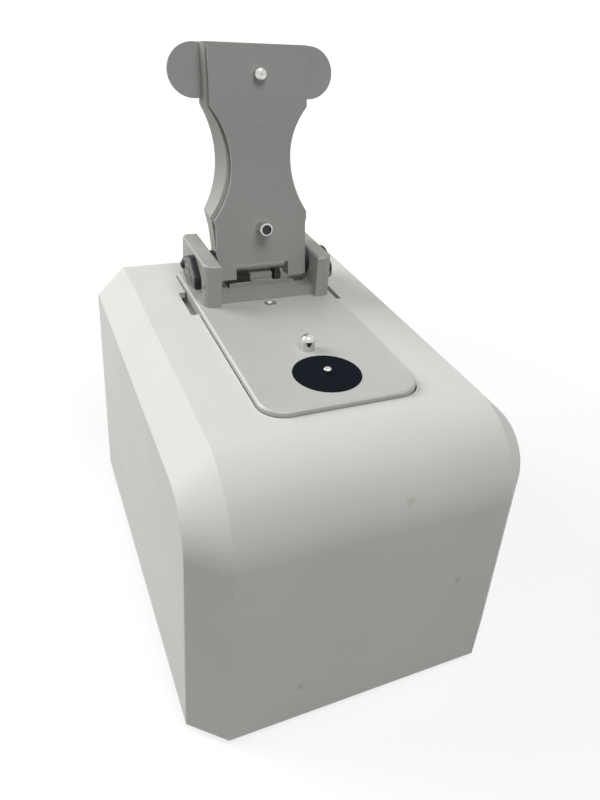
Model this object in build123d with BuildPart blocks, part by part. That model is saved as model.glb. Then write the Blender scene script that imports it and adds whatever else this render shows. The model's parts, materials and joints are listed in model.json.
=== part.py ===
from build123d import *
import math
import os

# Microvolume spectrophotometer: a small bench instrument with a painted case, an aluminium
# pedestal plate on top and a measuring arm that folds down over the lower pedestal.
# Frame: origin under the middle of the case on the bench, +X right, +Y to the back, +Z up.
# All sizes are in millimetres.

# Case
case_width = 140.0
case_depth = 200.0
case_height = 120.1  # painted band, from its lower edge to its flat top
case_wall = 3.0
front_radius = 32.4  # front to top
rear_radius = 15.5  # top to back
facet_across = 13.6  # the slanted side facet, measured along X
facet_in = 12.7  # the same facet, measured in from the band's outline
foot_height = 3.0
base_show = 0.9  # base plate seen under the band's lower edge
base_thickness = 1.5
base_gap = 0.4

# Side panels
panel_thickness = 2.0
panel_lip = 0.9
panel_seam = 0.25
panel_fold = 10.0
panel_fold_thickness = 1.5
panel_fold_length = 130.0

# Feet
foot_radius = 6.5
foot_inset_x = 20.0
foot_inset_y = 24.0
foot_stem_radius = 2.4
stem_gap = 0.1
foot_barb_height = 1.2
foot_barb_grow = 0.9

# Screws
screw_radius = 1.5
screw_head_radius = 2.75
screw_head_height = 2.0
screw_gap = 0.06
flat_head_height = 1.3

# Pedestal plate
plate_half_width = 33.5
plate_front = -62.6
plate_back = 71.0
plate_thickness = 7.0
plate_proud = 2.4  # above the case's top
plate_corner = 10.0
plate_rear_corner = 2.0
plate_bevel = 0.7
plate_seam = 0.6
notch_half_width = 37.6
notch_front = 26.5
notch_back = 51.0

# Pedestals, plunger and strike pad
disc_y = -41.5
disc_radius = 14.15
disc_gap = 0.05
disc_thickness = 3.0
disc_proud = 0.3
pedestal_radius = 1.65
pedestal_height = 2.6  # above the plate
pedestal_collar_radius = 3.4
pedestal_nut_size = 4.6
pedestal_nut_height = 3.0
fibre_radius = 0.3
fibre_gap = 0.03
plunger_y = -20.4
plunger_radius = 3.05
plunger_height = 6.8
running_gap = 0.05
bush_radius = 5.0
bush_depth = 5.0
pad_y = 25.4
pad_radius = 2.9
pad_thickness = 3.0

# Solenoid under the plate
solenoid_half = 15.0
solenoid_screw = 10.1
blind_depth = 3.6
solenoid_leaf = 2.0
coil_radius = 11.0
coil_height = 24.4
coil_cheek = 1.5
coil_waist = 1.2
armature_radius = 5.0
armature_gap = 0.4
armature_length = 17.0
armature_tail_radius = 1.5
spring_height = 4.5

# Hinge yoke
yoke_inner = 23.4
yoke_outer = 31.35
yoke_front = 26.3
yoke_back = 69.0
yoke_height = 20.5
yoke_web_front = 29.5
yoke_web_height = 3.5
yoke_front_round = 4.5
yoke_rear_round = 3.0
yoke_bevel = 0.8
yoke_root_round = 2.0
well_half_width = 16.4
well_front = 38.0
well_back = 58.0
yoke_screw_y = (33.0, 61.5)
yoke_screw_depth = 6.0
guard_thickness = 1.2
guard_gap = 0.2
guard_height = 5.5
guard_tab_half = 5.4
guard_tab_height = 6.6
guard_foot = 9.0

# Hinge axis and shaft
pivot_y = 44.1
pivot_above_plate = 13.1
journal_radius = 2.5
barrel_radius = 3.8
barrel_half = 12.9
barrel_bore = 1.6
washer_radius = 7.5
washer_thickness = 1.2
side_gap = 0.1

# Damper cases on the outer faces of the yoke
damper_anchor_forward = 13.9
damper_anchor_drop = 2.9
damper_rear_radius = 6.4
damper_front_radius = 5.0
damper_thickness = 3.6
damper_face_thickness = 0.8
damper_face_inset = 0.6
damper_hole_forward = 4.9
damper_hole_rise = 0.8
damper_hole_radius = 0.9
anchor_depth = 5.5
anchor_head_radius = 2.4
anchor_head_height = 0.6
pivot_screw_head = 2.7
pivot_screw_height = 1.3
pivot_screw_flat = 0.4
pivot_screw_depth = 8.0

# Clip that carries the fibre on the shaft
clip_gap = 0.4
clip_half = 5.4
clip_thickness = 1.0
clip_drop = 8.3
clip_leaf_back = 3.4

# Arm, in its own plane: s runs up along the arm, n runs back from its front face
arm_foot_y = 37.4
arm_foot_above_plate = 9.6
arm_lean = 9.62
face_thickness = 2.0
face_half_top = 22.6
face_half_foot = 21.9
face_top = 101.3
face_foot = -1.5
face_shoulder = 76.6
face_hip = 26.7
face_waist_half = 13.7
face_notch_half = 13.0
face_notch_top = 5.4
groove_depth = 0.8
groove_inset = 1.2
cover_depth = 12.0  # from the arm's front face to the cover's back
cover_grow_front = 1.2
cover_grow_back = 2.2
cover_waist_front = 15.3
cover_waist_back = 19.2
cover_top_rise = 1.5
cover_shoulder = 77.4
cover_hip_front = 28.2
cover_hip_back = 31.5
cover_neck = 23.2
cover_neck_half = 22.9
arm_ankle = 12.9
cover_wall = 2.0
cover_edge_round = 1.5
cover_cross_wall = 11.0
cover_foot_half = 21.8
flange_width = 4.0
flange_thickness = 1.5
fibre_depth = 6.2  # where the fibre runs, behind the arm's face
ear_radius = 11.6
ear_centre = 26.8
ear_s = 91.2
ear_depth = 8.2
ear_thickness = 1.6
ear_gap = 0.15
ear_tongue = 12.5
ear_root = 18.0
ear_neck = 26.0

# Studs on the arm
stud_radius = 2.9
stud_s = 90.2
stud_length = 3.5
contact_s = 22.6
contact_radius = 3.0
contact_length = 6.8
contact_bore = 2.3
contact_bore_depth = 2.4
shank_radius = 1.8
shank_length = 4.6
stud_flat = 1.0
magnet_thickness = 0.9
nut_size = 3.6
nut_thickness = 2.4
optic_half = 6.5
optic_depth = 8.0
block_low = 83.0
block_high = 97.0
ferrule_depth = 4.5

# Fibres
jacket_radius = 1.3
bench_port_radius = 3.2
bench_port_length = 9.0
fibre_side = 8.2  # the lamp's fibre passes beside the clip
fibre_rise_y = 46.4
fibre_loop_y = -74.0
lamp_port_height = 6.0

# Inner frame and modules
bracket_wall_x = 36.0
bracket_sheet = 2.0
bracket_front = -50.0
bracket_back = 60.0
bracket_top_flange = 16.0
bracket_foot = 12.0
bracket_screw_y = (-40.0, 12.0)
bench_half_width = 31.0
bench_front = -50.0
bench_back = 34.0
bench_height = 30.0
bench_lid = 2.0
pad_height = 3.0
lamp_front = 40.0
lamp_back = 76.0
lamp_half_width = 22.0
lamp_height = 34.0
lamp_fibre_y = 60.0
board_standoff = 6.0
board_thickness = 1.6
board_front = -52.0
board_back = 58.0
board_low = 16.0
board_high = 92.0
board_mid_y = 3.0
board_hole_pitch_y = 96.0
board_hole_pitch_z = 64.0

# Rear sockets
io_half_width = 32.0
io_high = 43.0
io_thickness = 2.0
io_window_half = 29.0
io_window_low = 14.0
io_window_high = 38.0
io_fold = 12.0
io_centre = 26.0
usb_x = -13.0
usb_width = 12.0
usb_height = 10.8
usb_length = 16.0
usb_mouth_width = 8.5
usb_mouth_height = 7.8
power_x = 13.0
power_radius = 5.4
power_hole = 2.9
power_pin = 1.0
power_nut = 7.0
power_nut_thickness = 1.8
socket_proud = 1.2
power_proud = 2.2
power_hole_depth = 9.0
usb_mouth_depth = 9.0
vent_count = 11
vent_pitch = 6.5
vent_width = 2.4
vent_low = 60.0
vent_high = 88.0

# Levels and places that follow from the sizes above
base_bottom = foot_height
base_top = base_bottom + base_thickness
case_bottom = base_bottom + base_show
case_top = case_bottom + case_height
half_width = case_width / 2
half_depth = case_depth / 2
facet_length = math.hypot(facet_across, facet_in)
plate_top = case_top + plate_proud
plate_bottom = plate_top - plate_thickness
pivot_z = plate_top + pivot_above_plate
arm_foot_z = plate_top + arm_foot_above_plate
lean = math.radians(arm_lean)
arm_plane = Plane(origin=(0, arm_foot_y, arm_foot_z), x_dir=(1, 0, 0),
                  z_dir=(0, -math.cos(lean), math.sin(lean)))
pivot_s = (pivot_y - arm_foot_y) * math.sin(lean) + (pivot_z - arm_foot_z) * math.cos(lean)
pivot_n = (pivot_y - arm_foot_y) * math.cos(lean) - (pivot_z - arm_foot_z) * math.sin(lean)
pivot_axis = Axis((0, pivot_y, pivot_z), (1, 0, 0))
cover_front = face_thickness + groove_depth
bracket_top = plate_bottom
anchor_y = pivot_y - damper_anchor_forward
anchor_z = pivot_z - damper_anchor_drop

os.makedirs("parts", exist_ok=True)


def band_outline(inset, low, least=0.6):
    """Side view of the case, moved in by inset, standing on the level low; no corner is under least."""
    top = case_top - inset
    front = -half_depth + inset
    back = half_depth - inset
    big = max(front_radius - inset, least)
    small = max(rear_radius - inset, least)
    with BuildLine() as outline:
        Line((front, low), (front, top - big))
        RadiusArc((front, top - big), (front + big, top), big)
        Line((front + big, top), (back - small, top))
        RadiusArc((back - small, top), (back, top - small), small)
        Line((back, top - small), (back, low))
        Line((back, low), (front, low))
    make_face(outline.edges())


def footprint(side_inset, inset):
    """Eight-sided plan of the case, moved in at the sides and by inset all round."""
    x = half_width - side_inset
    y = half_depth - inset
    reach = facet_in * (half_width - facet_across) + facet_across * half_depth - inset * facet_length
    x_cut = (reach - facet_across * y) / facet_in
    y_cut = (reach - facet_in * x) / facet_across
    with BuildLine() as outline:
        Polyline((x_cut, y), (x, y_cut), (x, -y_cut), (x_cut, -y), (-x_cut, -y),
                 (-x, -y_cut), (-x, y_cut), (-x_cut, y), close=True)
    make_face(outline.edges())


def arm_outline(head, top, shoulder, waist_half, hip, neck_half, neck, foot_half, foot):
    """Front view of the arm: square head, round waist, narrower neck and straight foot."""
    with BuildLine() as outline:
        Polyline((0, top), (head, top), (head, shoulder))
        ThreePointArc((head, shoulder), (waist_half, (shoulder + hip) / 2), (head, hip))
        Polyline((head, hip), (neck_half, neck), (foot_half, arm_ankle), (foot_half, foot), (0, foot))
        mirror(about=Plane.YZ)
    make_face(outline.edges())


def arm_level(depth):
    """Plane across the arm at a depth behind its front face."""
    return arm_plane.offset(-depth)


def arm_point(x, s, depth):
    """A point of the arm's plane in the instrument's frame."""
    return arm_plane.offset(-depth).from_local_coords(Vector(x, s, 0))


def band_block(inset, bevel):
    """Case block with slanted side facets, moved in by inset."""
    with BuildPart() as block:
        with BuildSketch(Plane.YZ.offset(-half_width)):
            band_outline(inset, case_bottom, bevel + 0.3)
        extrude(amount=case_width)
        for end in (0, -1):
            side = block.faces().sort_by(Axis.X)[end]
            rim = side.edges().filter_by_position(Axis.Z, case_bottom + 1, case_top + 1)
            chamfer(rim, length=bevel, length2=bevel * facet_across / facet_in, reference=side)
    return block.part


# Painted band: front, top and back in one folded shell with slanted facets along both sides
cavity_bevel = facet_in - case_wall + case_wall * facet_length / facet_across
case_block = band_block(0, facet_in)
case_cavity = band_block(case_wall, cavity_bevel)
with BuildPart() as cover_band:
    add(case_block)
    add(case_cavity, mode=Mode.SUBTRACT)
    # Seats for the side panels
    for side_x in (-half_width, half_width - panel_thickness):
        with BuildSketch(Plane.YZ.offset(side_x)):
            band_outline(facet_in + panel_lip, case_bottom)
        extrude(amount=panel_thickness, mode=Mode.SUBTRACT)
    # Opening round the pedestal plate, with a notch beside each damper
    with BuildSketch(Plane.XY.offset(case_top - 2 * case_wall)):
        with Locations((0, (plate_front + plate_back) / 2)):
            RectangleRounded(2 * (plate_half_width + plate_seam), plate_back - plate_front + 2 * plate_seam,
                             plate_rear_corner)
        with Locations((0, (notch_front + notch_back) / 2)):
            Rectangle(2 * notch_half_width, notch_back - notch_front)
    extrude(amount=3 * case_wall, mode=Mode.SUBTRACT)
    # Window for the sockets and a row of vents in the back
    with BuildSketch(Plane.XZ.offset(-half_depth - 1)):
        with Locations((0, (io_window_low + io_window_high) / 2)):
            RectangleRounded(2 * io_window_half, io_window_high - io_window_low, 3)
        with Locations((0, (vent_low + vent_high) / 2)):
            with GridLocations(vent_pitch, 1, vent_count, 1):
                SlotOverall(vent_high - vent_low, vent_width, rotation=90)
    extrude(amount=case_wall + 2, mode=Mode.SUBTRACT)
    # Screw blocks inside the front and back walls
    block_size = 10.0
    block_height = 12.0
    block_x = 45.0
    block_y = half_depth - case_wall - block_size / 2
    with BuildSketch(Plane.XY.offset(base_top)):
        with GridLocations(2 * block_x, 2 * block_y, 2, 2):
            Rectangle(block_size, block_size)
    extrude(amount=block_height)
    with BuildSketch(Plane.XY.offset(base_top)):
        with GridLocations(2 * block_x, 2 * block_y, 2, 2):
            Circle(screw_radius + screw_gap)
    extrude(amount=block_height - 2, mode=Mode.SUBTRACT)
cover_band.part.label = "cover_band"
export_step(cover_band.part, "parts/cover_band.step")

# Flat side panels with a fold that stands on the base plate
side_panels = {}
panel_screw_x = half_width - panel_thickness - panel_fold * 0.6
panel_screw_y = 50.0
for name, sign in (("side_panel_left", -1), ("side_panel_right", 1)):
    inner_x = sign * (half_width - panel_thickness)
    with BuildPart() as side_panel:
        with BuildSketch(Plane.YZ.offset(min(inner_x, sign * half_width))):
            band_outline(facet_in + panel_lip + panel_seam, case_bottom)
        extrude(amount=panel_thickness)
        fold_x = inner_x - sign * panel_fold / 2
        with BuildSketch(Plane.XY.offset(base_top)):
            with Locations((fold_x, 0)):
                Rectangle(panel_fold, panel_fold_length)
        extrude(amount=panel_fold_thickness)
        with BuildSketch(Plane.XY.offset(base_top)):
            with Locations((sign * panel_screw_x, -panel_screw_y), (sign * panel_screw_x, panel_screw_y)):
                Circle(screw_radius + screw_gap)
        extrude(amount=panel_fold_thickness, mode=Mode.SUBTRACT)
    side_panel.part.label = name
    export_step(side_panel.part, "parts/" + name + ".step")
    side_panels[name] = side_panel.part

# Base plate with holes for the feet and screws, and cooling slots
foot_x = half_width - foot_inset_x
foot_y = half_depth - foot_inset_y
bracket_foot_x = bracket_wall_x + bracket_sheet + bracket_foot * 0.6
bracket_foot_y = 40.0
with BuildPart() as base_plate:
    with BuildSketch(Plane.XY.offset(base_bottom)):
        footprint(panel_thickness + base_gap, case_wall + base_gap)
        with GridLocations(2 * foot_x, 2 * foot_y, 2, 2):
            Circle(foot_stem_radius + stem_gap, mode=Mode.SUBTRACT)
        with GridLocations(14, 1, 5, 1):
            with Locations((0, -76), (0, 58)):
                SlotOverall(14, 3, rotation=90, mode=Mode.SUBTRACT)
    extrude(amount=base_thickness)
    with Locations(Plane.XY.offset(base_bottom).rotated((180, 0, 0))):
        with GridLocations(2 * block_x, 2 * block_y, 2, 2):
            CounterSinkHole(screw_radius + screw_gap, screw_head_radius + screw_gap, depth=base_thickness)
        with GridLocations(2 * panel_screw_x, 2 * panel_screw_y, 2, 2):
            CounterSinkHole(screw_radius + screw_gap, screw_head_radius + screw_gap, depth=base_thickness)
        with GridLocations(2 * bracket_foot_x, 2 * bracket_foot_y, 2, 2):
            CounterSinkHole(screw_radius + screw_gap, screw_head_radius + screw_gap, depth=base_thickness)
base_plate.part.label = "base_plate"
export_step(base_plate.part, "parts/base_plate.step")

# Rubber feet pushed into the base plate
with BuildPart() as rubber_feet:
    with BuildSketch(Plane.XZ) as foot_profile:
        with BuildLine():
            Polyline((0, 0), (foot_radius - 0.9, 0), (foot_radius, 0.9), (foot_radius, foot_height),
                     (foot_stem_radius, foot_height), (foot_stem_radius, base_top),
                     (foot_stem_radius + foot_barb_grow, base_top),
                     (foot_stem_radius, base_top + foot_barb_height), (0, base_top + foot_barb_height),
                     close=True)
        make_face()
    foot_solid = revolve(axis=Axis.Z, mode=Mode.PRIVATE)
    with GridLocations(2 * foot_x, 2 * foot_y, 2, 2):
        add(foot_solid)
rubber_feet.part.label = "rubber_feet"
export_step(rubber_feet.part, "parts/rubber_feet.step")


def flat_screw_profile(length):
    """Half section of a countersunk screw, its head flush with the level zero, shank up."""
    with BuildLine() as outline:
        Polyline((0, 0), (screw_head_radius - 0.15, 0), (screw_radius, flat_head_height),
                 (screw_radius, length), (0, length), close=True)
    make_face(outline.edges())


# Countersunk screws under the base: for the case, the side panels and the brackets
with BuildPart() as base_screws:
    for screw_x, screw_y, length in ((block_x, block_y, 9.0), (panel_screw_x, panel_screw_y, 4.5),
                                     (bracket_foot_x, bracket_foot_y, 6.0)):
        with BuildSketch(Plane.XZ):
            flat_screw_profile(length)
        one_screw = revolve(axis=Axis.Z, mode=Mode.PRIVATE)
        with Locations((0, 0, base_bottom)):
            with GridLocations(2 * screw_x, 2 * screw_y, 2, 2):
                add(one_screw)
base_screws.part.label = "base_screws"
export_step(base_screws.part, "parts/base_screws.step")

# Pedestal plate
with BuildPart() as pedestal_plate:
    with BuildSketch(Plane.XY.offset(plate_bottom)) as plate_outline:
        with Locations((0, (plate_front + plate_back) / 2)):
            Rectangle(2 * plate_half_width, plate_back - plate_front)
        fillet(plate_outline.vertices().sort_by(Axis.Y)[:2], plate_corner)
        fillet(plate_outline.vertices().sort_by(Axis.Y)[-2:], plate_rear_corner)
    extrude(amount=plate_thickness)
    chamfer(pedestal_plate.faces().sort_by(Axis.Z)[-1].edges(), plate_bevel)
    # Recess for the disc, bores for the lower pedestal, plunger and strike pad
    with BuildSketch(Plane.XY.offset(plate_top)):
        with Locations((0, disc_y)):
            Circle(disc_radius + disc_gap)
    extrude(amount=-disc_thickness + disc_proud, mode=Mode.SUBTRACT)
    with BuildSketch(Plane.XY.offset(plate_bottom)):
        with Locations((0, disc_y)):
            Circle(pedestal_collar_radius + fibre_gap)
        with Locations((0, plunger_y)):
            Circle(plunger_radius + 2 * running_gap)
        with Locations((0, (well_front + well_back) / 2)):
            Rectangle(2 * well_half_width, well_back - well_front)
    extrude(amount=plate_thickness, mode=Mode.SUBTRACT)
    with BuildSketch(Plane.XY.offset(plate_bottom)):
        with Locations((0, plunger_y)):
            Circle(bush_radius + fibre_gap)
    extrude(amount=bush_depth, mode=Mode.SUBTRACT)
    with BuildSketch(Plane.XY.offset(plate_top)):
        with Locations((0, pad_y)):
            Circle(pad_radius + disc_gap)
    extrude(amount=-pad_thickness, mode=Mode.SUBTRACT)
    # Screw holes from below: yoke through holes with counterbores, bracket and solenoid threads
    yoke_screw_x = (yoke_inner + yoke_outer) / 2
    with Locations(Plane.XY.offset(plate_bottom).rotated((180, 0, 0))):
        with Locations([(x, -y) for x in (-yoke_screw_x, yoke_screw_x) for y in yoke_screw_y]):
            CounterBoreHole(screw_radius + screw_gap, screw_head_radius + screw_gap,
                            screw_head_height + screw_gap, depth=plate_thickness)
    bracket_screw_x = bracket_wall_x + bracket_sheet - bracket_top_flange * 0.5
    with BuildSketch(Plane.XY.offset(plate_bottom)):
        with Locations([(x, y) for x in (-bracket_screw_x, bracket_screw_x) for y in bracket_screw_y]):
            Circle(screw_radius + screw_gap)
        with Locations((0, plunger_y)):
            with GridLocations(2 * solenoid_screw, 2 * solenoid_screw, 2, 2):
                Circle(screw_radius + screw_gap)
    extrude(amount=blind_depth, mode=Mode.SUBTRACT)
pedestal_plate.part.label = "pedestal_plate"
export_step(pedestal_plate.part, "parts/pedestal_plate.step")

# Black disc round the lower pedestal
with BuildPart() as pedestal_disc:
    with BuildSketch(Plane.XY.offset(plate_top + disc_proud - disc_thickness)):
        with Locations((0, disc_y)):
            Circle(disc_radius)
            Circle(pedestal_radius + fibre_gap, mode=Mode.SUBTRACT)
    extrude(amount=disc_thickness)
    fillet(pedestal_disc.edges().filter_by(GeomType.CIRCLE).sort_by(SortBy.RADIUS)[-2:].sort_by(Axis.Z)[-1],
           0.25)
pedestal_disc.part.label = "pedestal_disc"
export_step(pedestal_disc.part, "parts/pedestal_disc.step")

# Lower pedestal: polished stub with a collar under the disc and a bore for the fibre
stub_top = plate_top + pedestal_height
collar_top = plate_top + disc_proud - disc_thickness
thread_end = plate_bottom - 2 * pedestal_nut_height
with BuildPart() as lower_pedestal:
    with BuildSketch(Plane.XZ.offset(-disc_y)):
        with BuildLine():
            Polyline((fibre_radius + fibre_gap, stub_top), (pedestal_radius - 0.7, stub_top))
            ThreePointArc((pedestal_radius - 0.7, stub_top), (pedestal_radius - 0.2, stub_top - 0.22),
                          (pedestal_radius, stub_top - 0.8))
            Polyline((pedestal_radius, stub_top - 0.8), (pedestal_radius, collar_top),
                     (pedestal_collar_radius, collar_top), (pedestal_collar_radius, plate_bottom),
                     (pedestal_radius + 0.6, plate_bottom), (pedestal_radius + 0.6, thread_end),
                     (fibre_radius + fibre_gap, thread_end), (fibre_radius + fibre_gap, stub_top))
        make_face()
    revolve(axis=Axis((0, disc_y, 0), (0, 0, 1)))
lower_pedestal.part.label = "lower_pedestal"
export_step(lower_pedestal.part, "parts/lower_pedestal.step")

with BuildPart() as pedestal_nut:
    with BuildSketch(Plane.XY.offset(plate_bottom - pedestal_nut_height)):
        with Locations((0, disc_y)):
            RegularPolygon(pedestal_nut_size, 6)
            Circle(pedestal_radius + 0.6 + fibre_gap, mode=Mode.SUBTRACT)
    extrude(amount=pedestal_nut_height)
pedestal_nut.part.label = "pedestal_nut"
export_step(pedestal_nut.part, "parts/pedestal_nut.step")

# Lower fibre core, flush with the top of the stub
with BuildPart() as lower_fibre_core:
    with BuildSketch(Plane.XY.offset(thread_end)):
        with Locations((0, disc_y)):
            Circle(fibre_radius)
    extrude(amount=stub_top - thread_end)
lower_fibre_core.part.label = "lower_fibre_core"
export_step(lower_fibre_core.part, "parts/lower_fibre_core.step")

# Plunger with its armature, a guide bush, and the spring under it
plunger_top = plate_top + plunger_height
coil_top = plate_bottom - solenoid_leaf
coil_bottom = coil_top - coil_height
leaf_bottom = coil_bottom - solenoid_leaf
armature_top = coil_bottom + spring_height + armature_length
with BuildPart() as plunger:
    with BuildSketch(Plane.XZ.offset(-plunger_y)):
        with BuildLine():
            Line((0, plunger_top), (0, coil_bottom - 1))
            CenterArc((0, plunger_top - plunger_radius), plunger_radius, 0, 90)
            Polyline((plunger_radius, plunger_top - plunger_radius), (plunger_radius, armature_top),
                     (armature_radius, armature_top), (armature_radius, coil_bottom + spring_height),
                     (armature_tail_radius, coil_bottom + spring_height),
                     (armature_tail_radius, coil_bottom - 1), (0, coil_bottom - 1))
        make_face()
    revolve(axis=Axis((0, plunger_y, 0), (0, 0, 1)))
plunger.part.label = "plunger"
export_step(plunger.part, "parts/plunger.step")

with BuildPart() as plunger_bush:
    with BuildSketch(Plane.XY.offset(plate_bottom)):
        with Locations((0, plunger_y)):
            Circle(bush_radius)
            Circle(plunger_radius + running_gap, mode=Mode.SUBTRACT)
    extrude(amount=bush_depth)
plunger_bush.part.label = "plunger_bush"
export_step(plunger_bush.part, "parts/plunger_bush.step")

# Solenoid: steel frame bent in a C round the coil
with BuildPart() as solenoid_frame:
    with BuildSketch(Plane.XZ.offset(-plunger_y - solenoid_half)):
        with Locations((0, coil_top + solenoid_leaf / 2)):
            Rectangle(2 * solenoid_half, solenoid_leaf)
        with Locations((0, coil_bottom - solenoid_leaf / 2)):
            Rectangle(2 * solenoid_half, solenoid_leaf)
        with Locations((solenoid_half - solenoid_leaf / 2, (coil_top + coil_bottom) / 2)):
            Rectangle(solenoid_leaf, coil_height + 2 * solenoid_leaf)
    extrude(amount=2 * solenoid_half)
    with BuildSketch(Plane.XY.offset(leaf_bottom)):
        with Locations((0, plunger_y)):
            Circle(armature_tail_radius + armature_gap)
    extrude(amount=2 * solenoid_leaf, mode=Mode.SUBTRACT)
    with BuildSketch(Plane.XY.offset(coil_top)):
        with Locations((0, plunger_y)):
            Circle(armature_radius + armature_gap)
            with GridLocations(2 * solenoid_screw, 2 * solenoid_screw, 2, 2):
                Circle(screw_radius + screw_gap)
    extrude(amount=solenoid_leaf, mode=Mode.SUBTRACT)
solenoid_frame.part.label = "solenoid_frame"
export_step(solenoid_frame.part, "parts/solenoid_frame.step")

with BuildPart() as solenoid_coil:
    with BuildSketch(Plane.XZ.offset(-plunger_y)):
        with BuildLine():
            inner = armature_radius + armature_gap
            waist = coil_radius - coil_waist
            Polyline((inner, coil_bottom), (coil_radius, coil_bottom), (coil_radius, coil_bottom + coil_cheek),
                     (waist, coil_bottom + coil_cheek), (waist, coil_top - coil_cheek),
                     (coil_radius, coil_top - coil_cheek), (coil_radius, coil_top), (inner, coil_top),
                     close=True)
        make_face()
    revolve(axis=Axis((0, plunger_y, 0), (0, 0, 1)))
solenoid_coil.part.label = "solenoid_coil"
export_step(solenoid_coil.part, "parts/solenoid_coil.step")


def pan_screw_profile(length):
    """Half section of a cap screw: head below the level zero, shank above it."""
    with BuildLine() as outline:
        Polyline((0, -screw_head_height), (screw_head_radius, -screw_head_height), (screw_head_radius, 0),
                 (screw_radius, 0), (screw_radius, length), (0, length), close=True)
    make_face(outline.edges())


# Cap screws that hold the solenoid, the brackets and the yoke to the plate from below
solenoid_places = [(x, plunger_y + y) for x in (-solenoid_screw, solenoid_screw)
                   for y in (-solenoid_screw, solenoid_screw)]
bracket_places = [(x, y) for x in (-bracket_screw_x, bracket_screw_x) for y in bracket_screw_y]
yoke_places = [(x, y) for x in (-yoke_screw_x, yoke_screw_x) for y in yoke_screw_y]
yoke_screw_length = plate_thickness - screw_head_height + yoke_screw_depth - 0.5
with BuildPart() as plate_screws:
    for places, level, length in ((solenoid_places, coil_top, 5.5),
                                  (bracket_places, bracket_top - bracket_sheet, 5.5),
                                  (yoke_places, plate_bottom + screw_head_height, yoke_screw_length)):
        with BuildSketch(Plane.XZ):
            pan_screw_profile(length)
        one_screw = revolve(axis=Axis.Z, mode=Mode.PRIVATE)
        with Locations([(x, y, level) for x, y in places]):
            add(one_screw)
plate_screws.part.label = "plate_screws"
export_step(plate_screws.part, "parts/plate_screws.step")

# Strike pad that the contact stud meets when the arm is down
with BuildPart() as strike_pad:
    with BuildSketch(Plane.XY.offset(plate_top - pad_thickness)):
        with Locations((0, pad_y)):
            Circle(pad_radius)
    extrude(amount=pad_thickness)
    chamfer(strike_pad.faces().sort_by(Axis.Z)[-1].edges(), 0.3)
strike_pad.part.label = "strike_pad"
export_step(strike_pad.part, "parts/strike_pad.step")

# Hinge yoke: two posts joined by a low web with a well behind its front edge
with BuildPart() as hinge_yoke:
    with BuildSketch(Plane.XY.offset(plate_top)) as post_plan:
        with GridLocations(yoke_inner + yoke_outer, 1, 2, 1):
            with Locations((0, (yoke_front + yoke_back) / 2)):
                Rectangle(yoke_outer - yoke_inner, yoke_back - yoke_front)
        outer_corners = post_plan.vertices().filter_by_position(Axis.X, yoke_inner + 1, yoke_outer + 1)
        outer_corners += post_plan.vertices().filter_by_position(Axis.X, -yoke_outer - 1, -yoke_inner - 1)
        fillet(outer_corners.filter_by_position(Axis.Y, yoke_front - 1, yoke_front + 1), yoke_front_round)
        outer_back = post_plan.vertices().filter_by_position(Axis.Y, yoke_back - 1, yoke_back + 1)
        fillet([v for v in outer_back if abs(v.X) > yoke_inner + 1], yoke_rear_round)
    extrude(amount=yoke_height)
    chamfer(hinge_yoke.faces().filter_by_position(Axis.Z, plate_top + yoke_height - 0.1,
                                                  plate_top + yoke_height + 0.1).edges(), yoke_bevel)
    with BuildSketch(Plane.XY.offset(plate_top)):
        with Locations((0, (yoke_web_front + yoke_back - 4) / 2)):
            Rectangle(2 * yoke_inner, yoke_back - 4 - yoke_web_front)
        with Locations((0, (well_front + well_back) / 2)):
            Rectangle(2 * well_half_width, well_back - well_front, mode=Mode.SUBTRACT)
    extrude(amount=yoke_web_height)
    inner_roots = hinge_yoke.edges().filter_by(Axis.Y).filter_by_position(
        Axis.Z, plate_top + yoke_web_height - 0.1, plate_top + yoke_web_height + 0.1)
    fillet([e for e in inner_roots if abs(abs(e.center().X) - yoke_inner) < 0.1], yoke_root_round)
    with BuildSketch(Plane.YZ.offset(-yoke_outer - 1)):
        with Locations((pivot_y, pivot_z)):
            Circle(journal_radius + running_gap)
    extrude(amount=2 * yoke_outer + 2, mode=Mode.SUBTRACT)
    with BuildSketch(Plane.XY.offset(plate_top)):
        with Locations([(x, y) for x in (-yoke_screw_x, yoke_screw_x) for y in yoke_screw_y]):
            Circle(screw_radius + screw_gap)
    extrude(amount=yoke_screw_depth, mode=Mode.SUBTRACT)
    for sign in (-1, 1):
        with BuildSketch(Plane.YZ.offset(sign * yoke_outer)):
            with Locations((anchor_y, anchor_z)):
                Circle(screw_radius + screw_gap)
        extrude(amount=-sign * anchor_depth, mode=Mode.SUBTRACT)
hinge_yoke.part.label = "hinge_yoke"
export_step(hinge_yoke.part, "parts/hinge_yoke.step")

# Fibre guard: bent sheet in the front of the well with a raised middle tab
with BuildPart() as fibre_guard:
    guard_half = well_half_width - guard_gap
    with BuildSketch(Plane.XZ.offset(-well_front)):
        with Locations((0, (plate_bottom - guard_thickness + plate_top + guard_height) / 2)):
            Rectangle(2 * guard_half, plate_top + guard_height - plate_bottom + guard_thickness)
        with Locations((0, plate_top + guard_tab_height / 2)):
            Rectangle(2 * guard_tab_half, guard_tab_height)
    extrude(amount=-guard_thickness)
    with BuildSketch(Plane.XY.offset(plate_bottom - guard_thickness)):
        with Locations((0, well_front - guard_foot / 2)):
            Rectangle(2 * guard_half, guard_foot)
    extrude(amount=guard_thickness)
fibre_guard.part.label = "fibre_guard"
export_step(fibre_guard.part, "parts/fibre_guard.step")

# Damper cases and their face plates on the two outer faces of the yoke
def damper_outline(inset):
    """Drawn-out round case: large end at the pivot, small end at the anchor screw."""
    with Locations((pivot_y, pivot_z)):
        Circle(damper_rear_radius - inset)
    with Locations((anchor_y, anchor_z)):
        Circle(damper_front_radius - inset)
    make_hull()


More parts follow.
